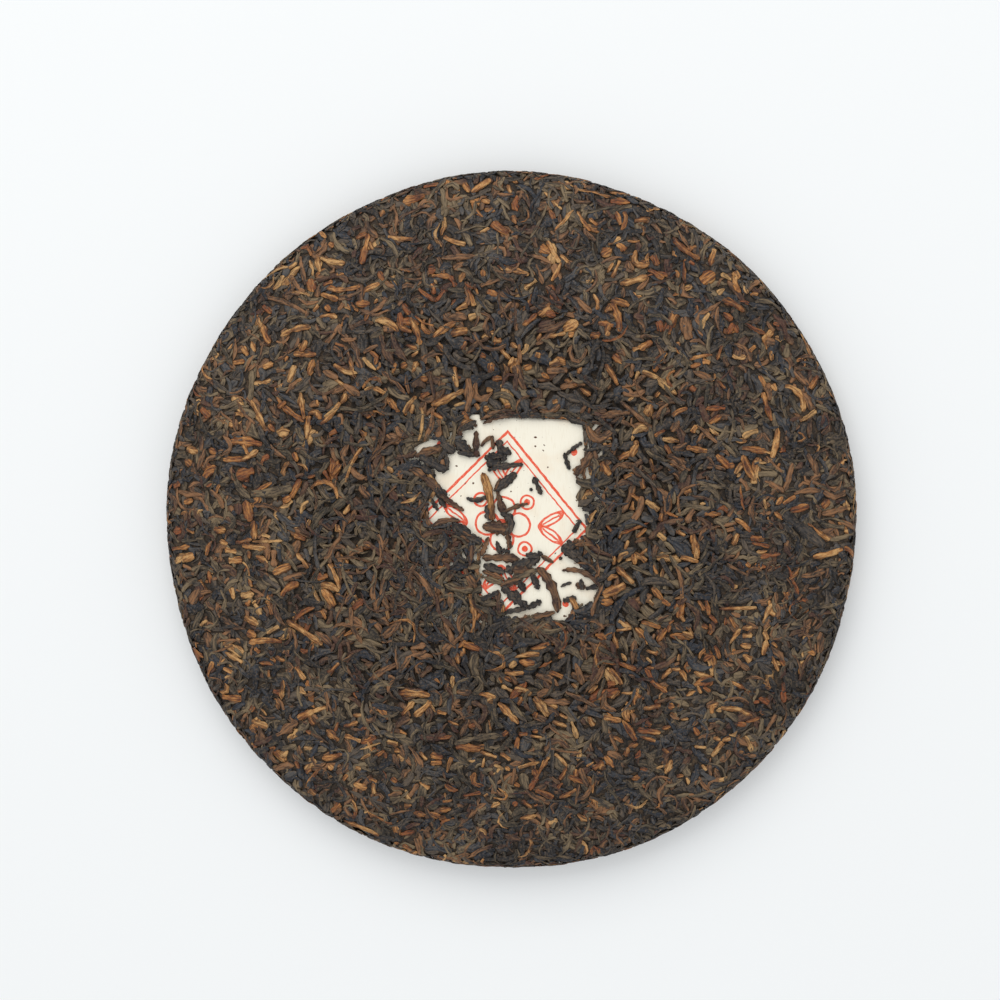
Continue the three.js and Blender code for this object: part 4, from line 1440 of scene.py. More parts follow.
    (-74.3, 0, -74, -5.8, 2, -10, 0.55), (-79.5, -6.6, -74.6, -5.5, 1.4, 10, 0.5),
    (-77.7, -7.2, -70.5, -8.1, 1.7, 10, 0.65), (-74.6, -6.3, -65.9, -6, 0.8, 0, 0.7),
    (-82.6, -8.3, -78.9, -8.9, 1.7, 40, 0.3), (-86.1, -6, -87.8, -10.4, 1.4, 40, 0.3),
    (-84.1, -6, -81.5, -6.9, 1.4, 0, 0.3), (-97.9, -8.3, -92.4, -7.5, 1.4, 10, 0.4),
    (-94.7, -11.5, -91.3, -10.1, 2.4, 0, 0.35), (-87.2, -14.4, -86.7, -18.4, 1.4, 0, 0.15),
    (-81.5, -11.8, -77.5, -11.5, 2.7, 0, 0.25), (-75.7, -8.9, -75.4, -11.2, 1.4, 0, 0.6),
    (-68.8, -15.5, -63.4, -13.2, 2, -10, 0.25), (-61.9, -9.5, -58.5, -14.1, 1.7, -10, 0.65),
    (-62.8, -4.3, -59, -5.8, 1.7, 0, 0.1), (-66.2, -22.1, -61.1, -18.4, 2, -70, 0.35),
    (-80.9, -19.3, -80, -23, 1.7, -25, 0.35), (-78, -21.9, -74, -21.3, 2, 0, 0.6),
    (-76.3, -24.7, -75.1, -23, 1.7, 0, 0.15), (-76.9, -27.9, -72.8, -30.2, 2, -10, 0.5),
    (-76.3, -32.2, -73.4, -33.6, 2, 0, 0.35), (-75.7, -35.4, -65.9, -35.1, 2, -25, 0.2),
    (-70.5, -32.8, -66.8, -30.5, 1.4, 0, 0.7), (-64.8, -29, -54.4, -36, 2.4, -10, 0.5),
    (-62.5, -29, -56.5, -25.3, 1.4, -50, 0.3), (-55, -18.7, -49.6, -20.7, 2, -50, 0.5),
    (-54.7, -19.8, -51, -25, 2.4, -25, 0.2), (-52.4, -12.4, -49.3, -20.1, 1.7, -10, 0.4),
    (-61.9, -42, -59.3, -46, 1.7, 20, 0.4), (-52.7, -44.3, -49.6, -41.1, 2, 0, 0.5),
    (-70, -42.6, -69.7, -45.4, 1.2, 0, 0.6), (-82.6, -38, -77.2, -41.1, 1.7, 0, 0.5),
    (-87.5, -45.2, -85.8, -40.8, 1.7, -10, 0.4), (-91.5, -36.8, -88.7, -39.7, 1.4, 0, 0.2),
    (-68, -39.4, -65.1, -40.6, 1.4, 0, 0.5), (-68.8, -49.2, -66.2, -50, 2, -20, 0.1),
    (-65.7, -46, -66.2, -51.8, 1.4, 0, 0.7), (-83.5, -50.9, -77.5, -51.5, 2, 0, 0.2),
    (-74, -36.8, -72.3, -38.3, 1.7, 0, 0.1), (-97.3, -3.5, -95, -2.9, 2, 0, 0.05),
    (-55, -25.9, -53.6, -28.8, 1.4, -40, 0.2), (-75.1, -55.2, -74, -53.5, 1.7, 0, 0.1),
    (-74.9, -57.8, -70, -59.5, 2, 0, 0.5), (-61.6, -57.2, -53.3, -53.8, 1.9, -10, 0.35),
    (-58.5, -56.4, -56.7, -59, 1.7, 0, 0.5), (-53.3, -60.4, -49.6, -63.6, 2.4, 0, 0.6),
    (-49.8, -58.1, -50.7, -61, 1, 0, 0.3), (-48.1, -62.1, -43.2, -63.8, 1.5, -10, 0.4),
    (-48.4, -59.5, -44.1, -58.1, 1.4, 10, 0.5), (-59.3, -60.7, -57.6, -61.5, 1.4, -30, 0.3),
    (-59.9, -65.6, -57, -65.6, 1.4, 20, 0.8), (-66.5, -68.2, -64.2, -66.4, 2.4, 0, 0.6),
    (-54.7, -68.7, -48.7, -67.3, 1.7, 20, 0.05), (-43.5, -69, -40.4, -67.3, 1, 0, 0.7),
    (-45, -71.3, -43.2, -71.6, 1.4, 0, 0.5), (-36, -63.8, -32.6, -65, 1.7, -20, 0.7),
    (-33.7, -66.1, -32, -66.7, 1.7, 0, 0.4), (-32.9, -67.6, -30.9, -69.3, 1.4, 0, 0.8),
    (-32.3, -60.7, -30, -61.8, 1, 0, 0.15), (-36.6, -66.7, -36, -68.7, 1.4, 0, 0.5),
    (-62.2, -69.3, -61.1, -71.6, 1.5, 0, 0.3), (-59.3, -72.8, -57.6, -71.6, 1.4, 0, 0.4),
    (-52.7, -70.5, -51.3, -71.9, 1.7, 0, 0.2), (-48.7, -75.1, -47, -73.3, 1.4, 0, 0.4),
    (-58.2, -77.4, -56.2, -79.1, 2, 0, 0.5), (-45.5, -75.9, -41.5, -77.1, 1.7, 15, 0.2),
    (-41.2, -74.2, -38.6, -75.6, 1.7, -30, 0.4), (-39.8, -75.6, -39.5, -79.1, 1.4, 0, 0.5),
    (-34.6, -74.2, -32.9, -75.6, 1.7, 0, 0.3), (-51.9, -84, -49.3, -81.7, 2.4, 0, 0.2),
    (-48.4, -86.6, -38, -90.9, 1.4, -15, 0.5), (-32, -90.6, -27.7, -89.7, 1.4, 0, 0.15),
    (-30.9, -82.5, -28.6, -82, 1.5, 0, 0.5), (-28.3, -84.3, -24.5, -85.1, 2, -15, 0.6),
    (-34.6, -94.6, -30.3, -95.2, 0.8, 0, 0.5), (-31.4, -93.5, -28.6, -95.2, 1.7, 0, 0.3),
    (-32.6, -50, -23.4, -50.6, 2, -20, 0.4), (-31.7, -56.4, -28, -52.3, 1.7, 0, 0.4),
    (-28, -56.7, -23.1, -52.3, 2, 0, 0.4), (-45.8, -56.4, -42.9, -56.1, 1, 0, 0.5),
    (-26.5, -66.7, -24.2, -69.3, 1.4, 0, 0.5), (-26.5, -75.4, -23.4, -77.4, 1.7, 0, 0.3),
    (-14.2, -35.7, -8.1, -37.7, 2, -5, 0.25), (-15.6, -37.1, -13, -34.5, 1, 0, 0.3),
    (-15.6, -38, -15.3, -41.7, 1.4, 0, 0.5), (-14.5, -39.4, -13.6, -36.8, 1.7, 0, 0.6),
    (5.4, -37.1, 11.1, -35.4, 1.4, 20, 0.3), (0.8, -39.7, 8.3, -38.8, 1.4, -30, 0.6),
    (-0.7, -42.6, 1.4, -40.8, 1.7, 0, 0.9), (-2.1, -44, 3.7, -44, 1.4, 15, 0.6),
    (10.8, -43.7, 14.9, -45.4, 1.7, 0, 0.4), (22.1, -50, 24.9, -47.5, 1.5, 0, 0.8),
    (-3, -47.7, 0.5, -49.5, 1.4, 0, 0.9), (-9.6, -50, -4.4, -51.2, 1.4, -10, 0.4),
    (-7, -52.3, -5, -51.5, 1.7, 0, 0.7), (-3.8, -52.6, 2.2, -58.7, 2, 0, 0.4),
    (1.9, -53.5, 3.1, -50.9, 1.7, 0, 0.5), (6.5, -50.9, 10.6, -56.7, 2.7, -10, 0.8),
    (9.7, -52.6, 13.4, -54.1, 1.4, -15, 0.5), (6.5, -56.7, 7.4, -55.5, 1.7, 0, 0.4),
    (13.7, -55.8, 16.3, -57.2, 1, 0, 0.3), (17.2, -57.8, 18.9, -63, 1.4, -10, 0.9),
    (22.1, -56.7, 23.8, -59.5, 1.7, 0, 0.5), (26.7, -56.4, 28.7, -57.5, 1.4, 0, 0.4),
    (11.7, -58.1, 16, -59.5, 1.7, 0, 0.5), (-21.7, -55.2, -18.5, -55.8, 1.4, 0, 0.3),
    (-23.4, -52.9, -21.7, -55.5, 1, 10, 0.8), (-18.5, -57.8, -15, -59.2, 1, 0, 0.5),
    (-12.5, -59.5, -10.4, -59, 1.7, 0, 0.1), (-21.4, -62.7, -17.1, -62.1, 1, 35, 0.4),
    (-6.7, -57.5, -5.8, -60.7, 1, 0, 0.8), (-16.2, -65, -8.7, -66.1, 2.4, 0, 0.4),
    (-9, -66.7, -4.1, -68.4, 1.4, 0, 0.5), (-2.7, -62.1, -0.9, -61, 1.4, 0, 0.4),
    (1.4, -66.1, 1.9, -62.4, 1.7, 0, 0.25), (1.9, -61.8, 4.8, -61.5, 1.4, 0, 0.3),
    (6, -61, 7.7, -60.7, 1.4, 0, 0.3), (5.1, -62.1, 9.1, -62.7, 0.7, 0, 0.5),
    (-3.2, -67, -0.1, -69.3, 1.4, 0, 0.4), (6.8, -74.8, 10.8, -68.2, 1.4, -10, 0.4),
    (5.1, -77.9, 7.4, -73.9, 1.7, 0, 0.2), (12.3, -67.3, 16, -71, 1.5, -35, 0.6),
    (16, -70.7, 13.7, -74.8, 1.4, -30, 0.5), (6.2, -71.6, 7.4, -73.6, 1.7, 0, 0.4),
    (23.2, -71.6, 26.9, -69.9, 2.4, 0, 0.3), (21.5, -71, 23.8, -69.6, 1, 0, 0.6),
    (16.3, -73.9, 21.2, -75.9, 1.4, -20, 0.3), (6.8, -77.7, 12.3, -80, 2, -5, 0.45),
    (13.7, -80, 18.9, -77.4, 1.7, 20, 0.6), (0.8, -75.9, 2.5, -76.8, 1.4, 0, 0.2),
    (-13.9, -79.4, -8.7, -78.5, 1.4, 0, 0.3), (-7.9, -79.7, -6.7, -78.8, 1, 0, 0.8),
    (-18.5, -72.8, -17.1, -68.2, 1.4, -10, 0.7), (-23.4, -67.6, -19.6, -68.4, 2, 0, 0.3),
    (-23.4, -70.2, -19.9, -69.6, 1.7, 0, 0.25), (-20.8, -83.7, -17.1, -83.1, 1.7, 0, 0.3),
    (-23.7, -84.3, -20.2, -85.1, 1.7, 0, 0.35), (-6.1, -82.8, -3.2, -81.4, 1.4, -10, 0.4),
    (0.5, -82.3, 1.6, -81.1, 1.7, 0, 0.2), (2.8, -80.8, 6, -83.1, 1.7, -20, 0.5),
    (2.5, -86, 7.4, -85.1, 1.4, 0, 0.6), (-1.8, -71, -0.4, -72.2, 1, 0, 0.2),
    (13.4, -40, 15.2, -38.5, 1.7, 0, 0.6), (7.7, -42.6, 11.7, -40.6, 1, 10, 0.2),
    (17.2, -47.2, 18.9, -48.3, 1, 0, 0.5), (25.5, -23.6, 29.5, -23.6, 2, 0, 0.2),
    (39.3, -23, 41, -24.7, 1.4, 0, 0.7), (43.3, -23, 45.9, -24.7, 1.4, 0, 0.25),
    (53.7, -23, 55.7, -26.2, 1.4, 0, 0.4), (56, -23, 56.9, -27.6, 1.4, -10, 0.35),
    (56.9, -27.3, 59.4, -29.6, 1, 0, 0.25), (59.7, -25.6, 70.7, -25.3, 1.2, 0, 0.5),
    (62.9, -27.6, 64.6, -31.3, 1, 10, 0.4), (72.4, -29.9, 75, -23.9, 1.4, -10, 0.5),
    (30.7, -29, 34.7, -31.6, 1.4, -10, 0.6), (30.1, -31.9, 34.7, -31.3, 1, 0, 0.5),
    (37.3, -29.3, 43.1, -31.1, 1.4, -5, 0.4), (41.9, -35.1, 44.8, -31.3, 2, -10, 0.3),
    (45.1, -32.5, 45.6, -30.2, 1, 0, 0.3), (48.5, -27.6, 50, -29.3, 1.7, 0, 0.6),
    (50.5, -30.2, 52.5, -33.6, 1.4, 0, 0.8), (49.1, -32.2, 52.3, -33.9, 1.4, 10, 0.7),
    (54.8, -30.2, 56.6, -31.3, 1.7, 0, 0.4), (62.9, -35.7, 66.1, -31.3, 1.4, -20, 0.6),
    (66.3, -31.3, 69.5, -30.8, 1.4, 0, 0.5), (66.3, -33.6, 69.5, -33.1, 1.7, 0, 0.6),
    (72.7, -31.9, 73.8, -34.8, 1.7, 0, 0.4), (72.4, -39.1, 73.5, -34.5, 1.7, 0, 0.35),
    (75, -35.1, 76.7, -36.8, 1.4, 0, 0.4), (75, -39.1, 77, -43.7, 1.4, 0, 0.5),
    (65.8, -36, 69.2, -36.5, 1.7, 0, 0.3), (66.6, -38.8, 69.2, -40.6, 2.7, 0, 0.6),
    (29.2, -32.2, 30.7, -37.1, 1.2, 10, 0.5), (38.7, -37.7, 42.5, -38.5, 1.4, 0, 0.5),
    (31.5, -38.5, 33, -40.8, 1, -30, 0.9), (30.7, -41.1, 36.2, -43.1, 1.5, 10, 0.25),
    (38.7, -39.7, 40.5, -41.4, 1, -30, 0.9), (38.7, -42.6, 41.3, -42.6, 1, 0, 0.5),
    (43.3, -46, 46.2, -42.9, 1.4, -25, 0.6), (45.6, -42.9, 48.8, -43.1, 1.2, 0, 0.5),
    (48.5, -43.1, 50.5, -46.6, 1.7, -15, 0.4), (52.5, -43.7, 56.9, -44.9, 1.4, 20, 0.5),
    (55.1, -40.6, 58, -38.8, 1.7, 0, 0.4), (58.6, -36, 60, -40, 1.4, 0, 0.4),
    (28.1, -42.9, 31.8, -47.7, 1.4, -35, 0.45), (27.5, -47.2, 30.1, -47.2, 2, 0, 0.15),
    (28.7, -51.5, 31.3, -49.2, 1.5, 10, 0.7), (31.5, -49.8, 35.3, -49.8, 1, 10, 0.6),
    (50.2, -50.9, 53.4, -49.2, 1, -30, 0.3), (53.4, -47.5, 54.8, -50, 1.4, 0, 0.6),
    (55.1, -48, 57.4, -49.5, 1.4, 0, 0.2), (73.3, -47.7, 74.7, -48.6, 1.4, 0, 0.8),
    (71.2, -51.2, 74.4, -52.9, 1.7, -10, 0.1), (69.5, -52.6, 71.5, -52.3, 1, 0, 0.15),
    (58.9, -54.9, 60.6, -54.6, 1.7, 0, 1), (60, -54.1, 66.6, -54.6, 1.4, 0, 0.5),
    (65.8, -54.9, 69.5, -56.4, 1.4, 0, 0.5), (67.5, -58.1, 71.5, -56.9, 1.4, 10, 0.3),
    (64.9, -58.7, 67.8, -59, 1.7, 0, 0.2), (26.4, -56.7, 31.8, -57.8, 1.7, 0, 0.4),
    (31.8, -57.5, 35.9, -63.8, 2, -15, 0.45), (36.2, -60.4, 43.1, -61.3, 1.7, -5, 0.3),
    (37, -62.4, 41.6, -63.8, 1.2, -15, 0.5), (37.9, -54.4, 43.1, -53.5, 1.7, 0, 0.5),
    (45.1, -53.5, 47.1, -53.8, 1.7, 0, 0.4), (38.5, -58.4, 40.5, -59, 2, 0, 0.5),
    (43.3, -60.1, 46.2, -59.2, 1, 20, 0.3), (52.5, -59.5, 54, -62.1, 2, 0, 0),
    (48.5, -57.5, 51.1, -57.2, 1, 0, 0.4), (52.5, -65.3, 56.3, -65.6, 1.2, -15, 0.6),
    (57.7, -68.2, 60.9, -63.8, 2, 0, 0.6), (58, -62.7, 60.3, -63.3, 1.4, 0, 0.6),
    (60.6, -63.6, 63.2, -62.7, 2, 0, 0.6), (67.2, -62.1, 69.2, -66.7, 1.7, -20, 0.7),
    (65.2, -67, 66.9, -66.7, 1, 0, 0.5), (33, -68.2, 33.6, -65.3, 2, 0, 0.6),
    (33.6, -65.3, 36.7, -64.4, 1.7, 0, 0.6), (29, -62.1, 32.4, -64.1, 1.4, 10, 0.4),
    (43.3, -65.9, 45.4, -67, 1.4, -15, 0.5), (44.2, -73.1, 46.2, -69, 2, 10, 0.6),
    (54.8, -70.5, 56.3, -72.2, 1.4, 0, 0.6), (25.5, -71.9, 26.9, -70.2, 1.7, 0, 0.7),
    (26.9, -67.9, 29.5, -71.3, 2, 0, 0.2), (47.4, -73.9, 49.7, -73.6, 1.4, 0, 0.4),
    (37, -71.3, 39.3, -72.2, 1.4, 0, 0.4), (39.3, 29.6, 40.2, 33.4, 2, 0, 0.5),
    (46.2, 29.9, 50.8, 32.2, 1.5, -30, 0.4), (52, 25, 53.4, 27.3, 1.4, -20, 0.25),
    (30.7, 17.5, 34.7, 19.6, 1.7, 0, 0.4), (34.4, 18.1, 36.4, 22.1, 1.7, -10, 0.4),
    (25.8, 16.7, 28.4, 12.7, 2.4, 0, 0.55), (32.1, 12.1, 35.3, 13.5, 1.4, 15, 0.4),
    (44.2, 21.9, 45.9, 18.7, 1.4, 0, 0.4), (50.5, 21, 54.3, 20.1, 1.4, 0, 0.4),
    (45.4, 15.8, 48.8, 15.2, 0.8, 0, 0.7), (39.9, 17.8, 40.8, 13.8, 1, 0, 0.7),
    (37.3, 12.1, 38.2, 8.6, 1.7, 0, 0.5), (34.1, 7.5, 37, 5.8, 1.4, 0, 0.3),
    (38.5, 5.5, 42.5, 2.6, 2, -10, 0.9), (34.7, 2.6, 35, 5.5, 1.4, 0, 0.4),
    (42.8, -0.6, 43.3, 2, 1.4, 0, 0.4), (41.9, -3.7, 44.5, -6, 1.7, -10, 0.9),
    (35.9, -5.2, 39, -2.3, 1.4, 0, 0.3), (32.7, -8.6, 33.6, -5.8, 1, 0, 0.6),
    (35.3, -9.5, 35.6, -13.2, 2, 10, 0.35), (37, -10.4, 39.3, -8.3, 1, -20, 0.5),
    (30.1, -13.5, 35.3, -18.4, 1.7, 0, 0.5), (26.1, -21.6, 33, -18.7, 3.1, 0, 0.45),
    (52.3, -3.7, 53.4, -11.5, 1.7, -10, 0.5), (48.5, -10.6, 54, -12.1, 1.4, 0, 0.4),
    (43.1, -17.3, 43.9, -13.8, 1.2, 0, 0.7), (40.5, -19.3, 43.6, -23, 1.7, 0, 0.4),
    (49.7, 7.5, 51.7, 8.9, 1.7, 0, 0.5), (43.3, 23.3, 48.5, 22.7, 1.4, 0, 0.9),
    (40.8, 11.5, 41.3, 13.2, 1.7, 0, 0.5), (27.2, -1.2, 29, -3.5, 1.4, 0, 0.3),
    (29.5, -13.2, 29.5, -10.1, 1.4, 0, 0.6), (41, 23.9, 44.5, 25.9, 1.4, -20, 0.1),
    (35.9, 21.3, 35.9, 23, 1.4, 0, 0.5), (-58.5, 41.7, -57, 45.7, 1.7, -10, 0.4),
    (-60.8, 47.5, -55.9, 47.7, 1.4, 0, 0.5), (-60.2, 48.9, -59, 51.8, 1.7, 0, 0.6),
    (-51, 50.9, -48.1, 50, 1, 0, 0.15), (-51.3, 41.1, -48.1, 38.5, 1.7, 0, 0.5),
    (-49, 33.4, -47.5, 36.5, 1.7, 0, 0.5), (-60.8, 36.8, -59.9, 32.2, 1.7, 0, 0.5),
    (-58.5, 30.2, -55.9, 31.1, 1.4, -60, 0.5), (-53.9, 29.6, -49.8, 32.5, 0.8, -10, 0.9),
    (-42.7, 46.9, -38.9, 43.1, 1.4, 20, 1), (-34.3, 42, -33.2, 45.4, 1.4, 0, 0.6),
    (-32, 44, -30, 44.9, 2, 0, 0.4), (-28.6, 42, -27.1, 45.7, 1.7, 0, 0.5),
    (-30.6, 50.3, -27.1, 49.2, 1.4, -20, 0.5), (-28.8, 46.9, -26.8, 48.6, 1.7, 0, 0.5),
    (-16.5, 44.3, -15.6, 38, 1.7, 10, 0.6), (-23.1, 32.8, -13.6, 37.4, 2, 0, 0.6),
    (-30.9, 30.5, -27.4, 35.7, 1.7, -20, 0.7), (-28.8, 30.5, -28.3, 33.4, 1.4, 0, 0.6),
    (-26.3, 35.4, -23.4, 36.8, 1.4, 0, 0.3), (-35.7, 35.1, -32.3, 30.8, 1.7, 0, 0.4),
    (-40.1, 38, -36, 36.2, 1.4, -10, 0.4), (-42.4, 37.1, -39.8, 38.3, 1, -20, 0.7),
    (-14.2, 48.9, -13, 51.5, 1.7, -10, 0.5), (-21.7, 51.2, -19.4, 48.3, 1.7, 0, 0.7),
    (-16.8, 32.8, -13, 33.9, 0.8, 0, 0.9), (-14.2, 31.3, -12.2, 28.8, 1.4, 0, 0.3),
    (-10.7, 33.4, -9, 31.9, 1.4, 0, 0.5), (-15.9, 41.4, -14.5, 40.8, 1, 0, 0.1),
    (-26.3, 40.6, -24, 40.6, 1.4, 0, 0.3), (-3.5, 49.5, -0.4, 46.3, 1.4, 0, 0.5),
    (-0.4, 50.9, 1.9, 49.5, 1.4, 0, 0.5), (-2.4, 45.2, -0.7, 41.7, 1, 0, 0.7),
    (-6.1, 42, -5.6, 45.4, 2, 0, 0.5), (-5.8, 40.6, -2.4, 40.8, 1.4, 0, 0.4),
    (-5.3, 51.5, -3.2, 51.5, 1.4, 0, 0.6), (-9, 47.5, -7.3, 46.9, 1.7, 0, 0.3),
    (7.4, 46.6, 8, 48.3, 2, 0, 0.4), (3.4, 43.4, 6, 44.3, 2, -20, 0.3),
    (10.8, 44.6, 15.7, 45.4, 2.7, -10, 0.7), (12.9, 46.9, 15.4, 45.7, 1.7, 0, 0.6),
    (8.5, 42.3, 11.1, 40.6, 1.4, 0, 0.2), (15.2, 40.3, 16.9, 39.7, 1.4, 0, 0.5),
    (17.7, 39.4, 18.9, 38.8, 1, 0, 0.4), (19.5, 38, 22.9, 35.7, 1.7, -10, 0.5),
    (26.9, 44.9, 30.7, 38.5, 1.5, -20, 0.5), (29.2, 47.7, 32.1, 44.9, 1.7, 0, 0.3),
    (34.7, 48.9, 40.8, 51.2, 1.7, 10, 0.4), (37, 48.9, 40.5, 51.5, 1.7, 0, 0.35),
    (37.6, 42.9, 42.8, 40.8, 1.4, 15, 0.7), (35.9, 40.3, 36.7, 42.9, 1.4, -20, 0.8),
    (22.6, 53.2, 25.5, 52.9, 2, 0, 0.6), (27.2, 52.9, 28.1, 54.4, 1.4, 0, 0.9),
    (16.3, 53.2, 18.3, 53.5, 1.4, 0, 0.2), (-2.1, 32.8, -0.1, 33.1, 2, 0, 0.35),
    (-8.4, 31.6, -6.4, 32.2, 1.4, 0, 0.4), (-7.3, 37.1, -5.3, 37.4, 1.7, 0, 0.6),
    (11.7, 33.9, 13.4, 34.2, 1.4, 0, 0.4), (22.3, 30.5, 22.6, 32.8, 1, 0, 0.5),
    (38.7, 30.2, 39.6, 33.1, 2, 0, 0.6), (19.2, 42, 20, 44.3, 1.4, 0, 0.6),
    (41.3, 35.4, 42.8, 36.8, 1.4, 0, 0.4), (33.6, 34.2, 35.3, 35.4, 1, -20, 0.6),
    (7.4, 51.5, 8.5, 53.8, 1, 0, 0.5), (10.8, 52.6, 15.7, 53.8, 1.4, -10, 0.5),
)
BROWN_LANDMARKS = (
    (21.5, 83.1, 24.4, 80, 1.2, 0, 0.9), (19.2, 63.3, 23.2, 59.5, 1.7, 10, 0.95),
    (49.7, 58.7, 51.1, 51.8, 3.1, 0, 0.8), (-60.8, 75.9, -59.3, 67.6, 1.4, 0, 0.6),
    (-70.5, 64.1, -59.3, 59.5, 1.7, -25, 0.95), (-20.2, 75.4, -10.4, 75.9, 1.7, 0, 0.95),
    (-9, 67.3, -3.2, 69.3, 1.5, 0, 0.95), (-78.6, 4.9, -78.6, 1.4, 2.7, 0, 0),
    (59.7, 61.5, 61.7, 52.3, 1.4, 70, 0.95), (73.3, 51.2, 76.1, 51.2, 3.1, 0, 1),
    (81, 16.4, 78.7, 8.3, 1.7, 0, 0.95), (81.3, 7.5, 89.1, 8.3, 1.4, -30, 0.95),
    (89.4, 1.7, 96.8, 3.7, 2, 10, 0.95), (-92.4, -24.2, -89.8, -19.6, 2.7, 0, 0.95),
    (-89.5, -21.3, -86.1, -20.7, 1.4, -40, 0.95), (-87.8, -32.2, -86.9, -36.8, 2.7, 0, 0.8),
    (-67.7, -62.1, -61.6, -57.8, 2.4, 10, 0.95), (-35.5, -79.4, -31.4, -78.5, 1.7, 0, 0.7),
    (-29.4, -79.7, -26.8, -75.9, 1.4, 0, 0.9), (9.1, -52.1, 17.2, -52.6, 1.7, 0, 0.95),
    (19.8, -71.3, 22.1, -76.8, 1.7, 10, 0.95), (18.3, -41.1, 20.6, -47.7, 1.7, -10, 0.9),
    (31.3, 34.2, 39.3, 27.3, 1.4, 0, 0.5), (-54.4, 42.9, -49.8, 40.8, 2, 0, 1),
    (-48.4, 39.1, -43.5, 35.7, 2, 0, 0.9), (-42.7, 48, -38.3, 50.3, 1.4, -20, 1),
    (-44.1, 38.3, -44.4, 40, 1, 0, 0.7), (10, 43.1, 16.3, 43.1, 2.4, 0, 0.9),
)
OLIVE_LANDMARKS = (
    (10.3, 90.9, 5.4, 81.1, 0.8, -15, 0.9), (-74.6, 42.9, -75.1, 34.5, 2.7, 0, 0.9),
    (-75.1, 7.5, -63.1, 9.5, 3.1, 20, 1), (-79.2, 9.2, -75.1, 6.3, 2, 0, 1),
    (70.1, 62.7, 77.9, 59.8, 1.4, -80, 1), (79.6, 50.9, 79.3, 46.6, 2.4, 20, 1),
    (71, 12.9, 76.7, 12.9, 1.7, -40, 1), (91.7, -5.8, 98.8, -3.5, 1.4, 10, 1),
    (-65.4, -9.2, -61.6, -15, 1, 0, 0.9), (-47.8, -52.3, -45.8, -56.9, 1.4, 20, 1),
    (-40.1, -58.4, -37.2, -62.7, 1, -20, 0.95), (-16.5, -64.4, -3.2, -62.1, 2, -15, 1),
    (3.1, -72.8, 4.5, -77.7, 2.4, 0, 1), (46.2, -27.6, 48.2, -25, 1, 0, 1),
    (63.8, -45.2, 66.9, -44.3, 2.7, 0, 1), (57.7, -49.5, 61.7, -51.2, 1.2, 0, 1),
    (43.9, -6.3, 47.1, -9.5, 1.4, -20, 0.9), (41.3, -10.6, 46.2, -9.5, 0.8, -15, 1),
    (-21.9, 43.4, -20.8, 41.4, 2.4, 0, 0.9), (-20.2, 40, -17.9, 40, 2.4, 0, 0.9),
    (4.8, 38.8, 8.3, 36.2, 0.8, 0, 1), (31.3, 51.8, 33.9, 50, 0.8, 0, 1),
)
CHARCOAL_LANDMARKS = (
    (78.4, 2, 90.5, -7.8, 3.7, 5, 0.3),
)
LANDMARK_LEAVES = {
    "golden": GOLDEN_LANDMARKS,
    "brown": BROWN_LANDMARKS,
    "olive": OLIVE_LANDMARKS,
    "charcoal": CHARCOAL_LANDMARKS,
}

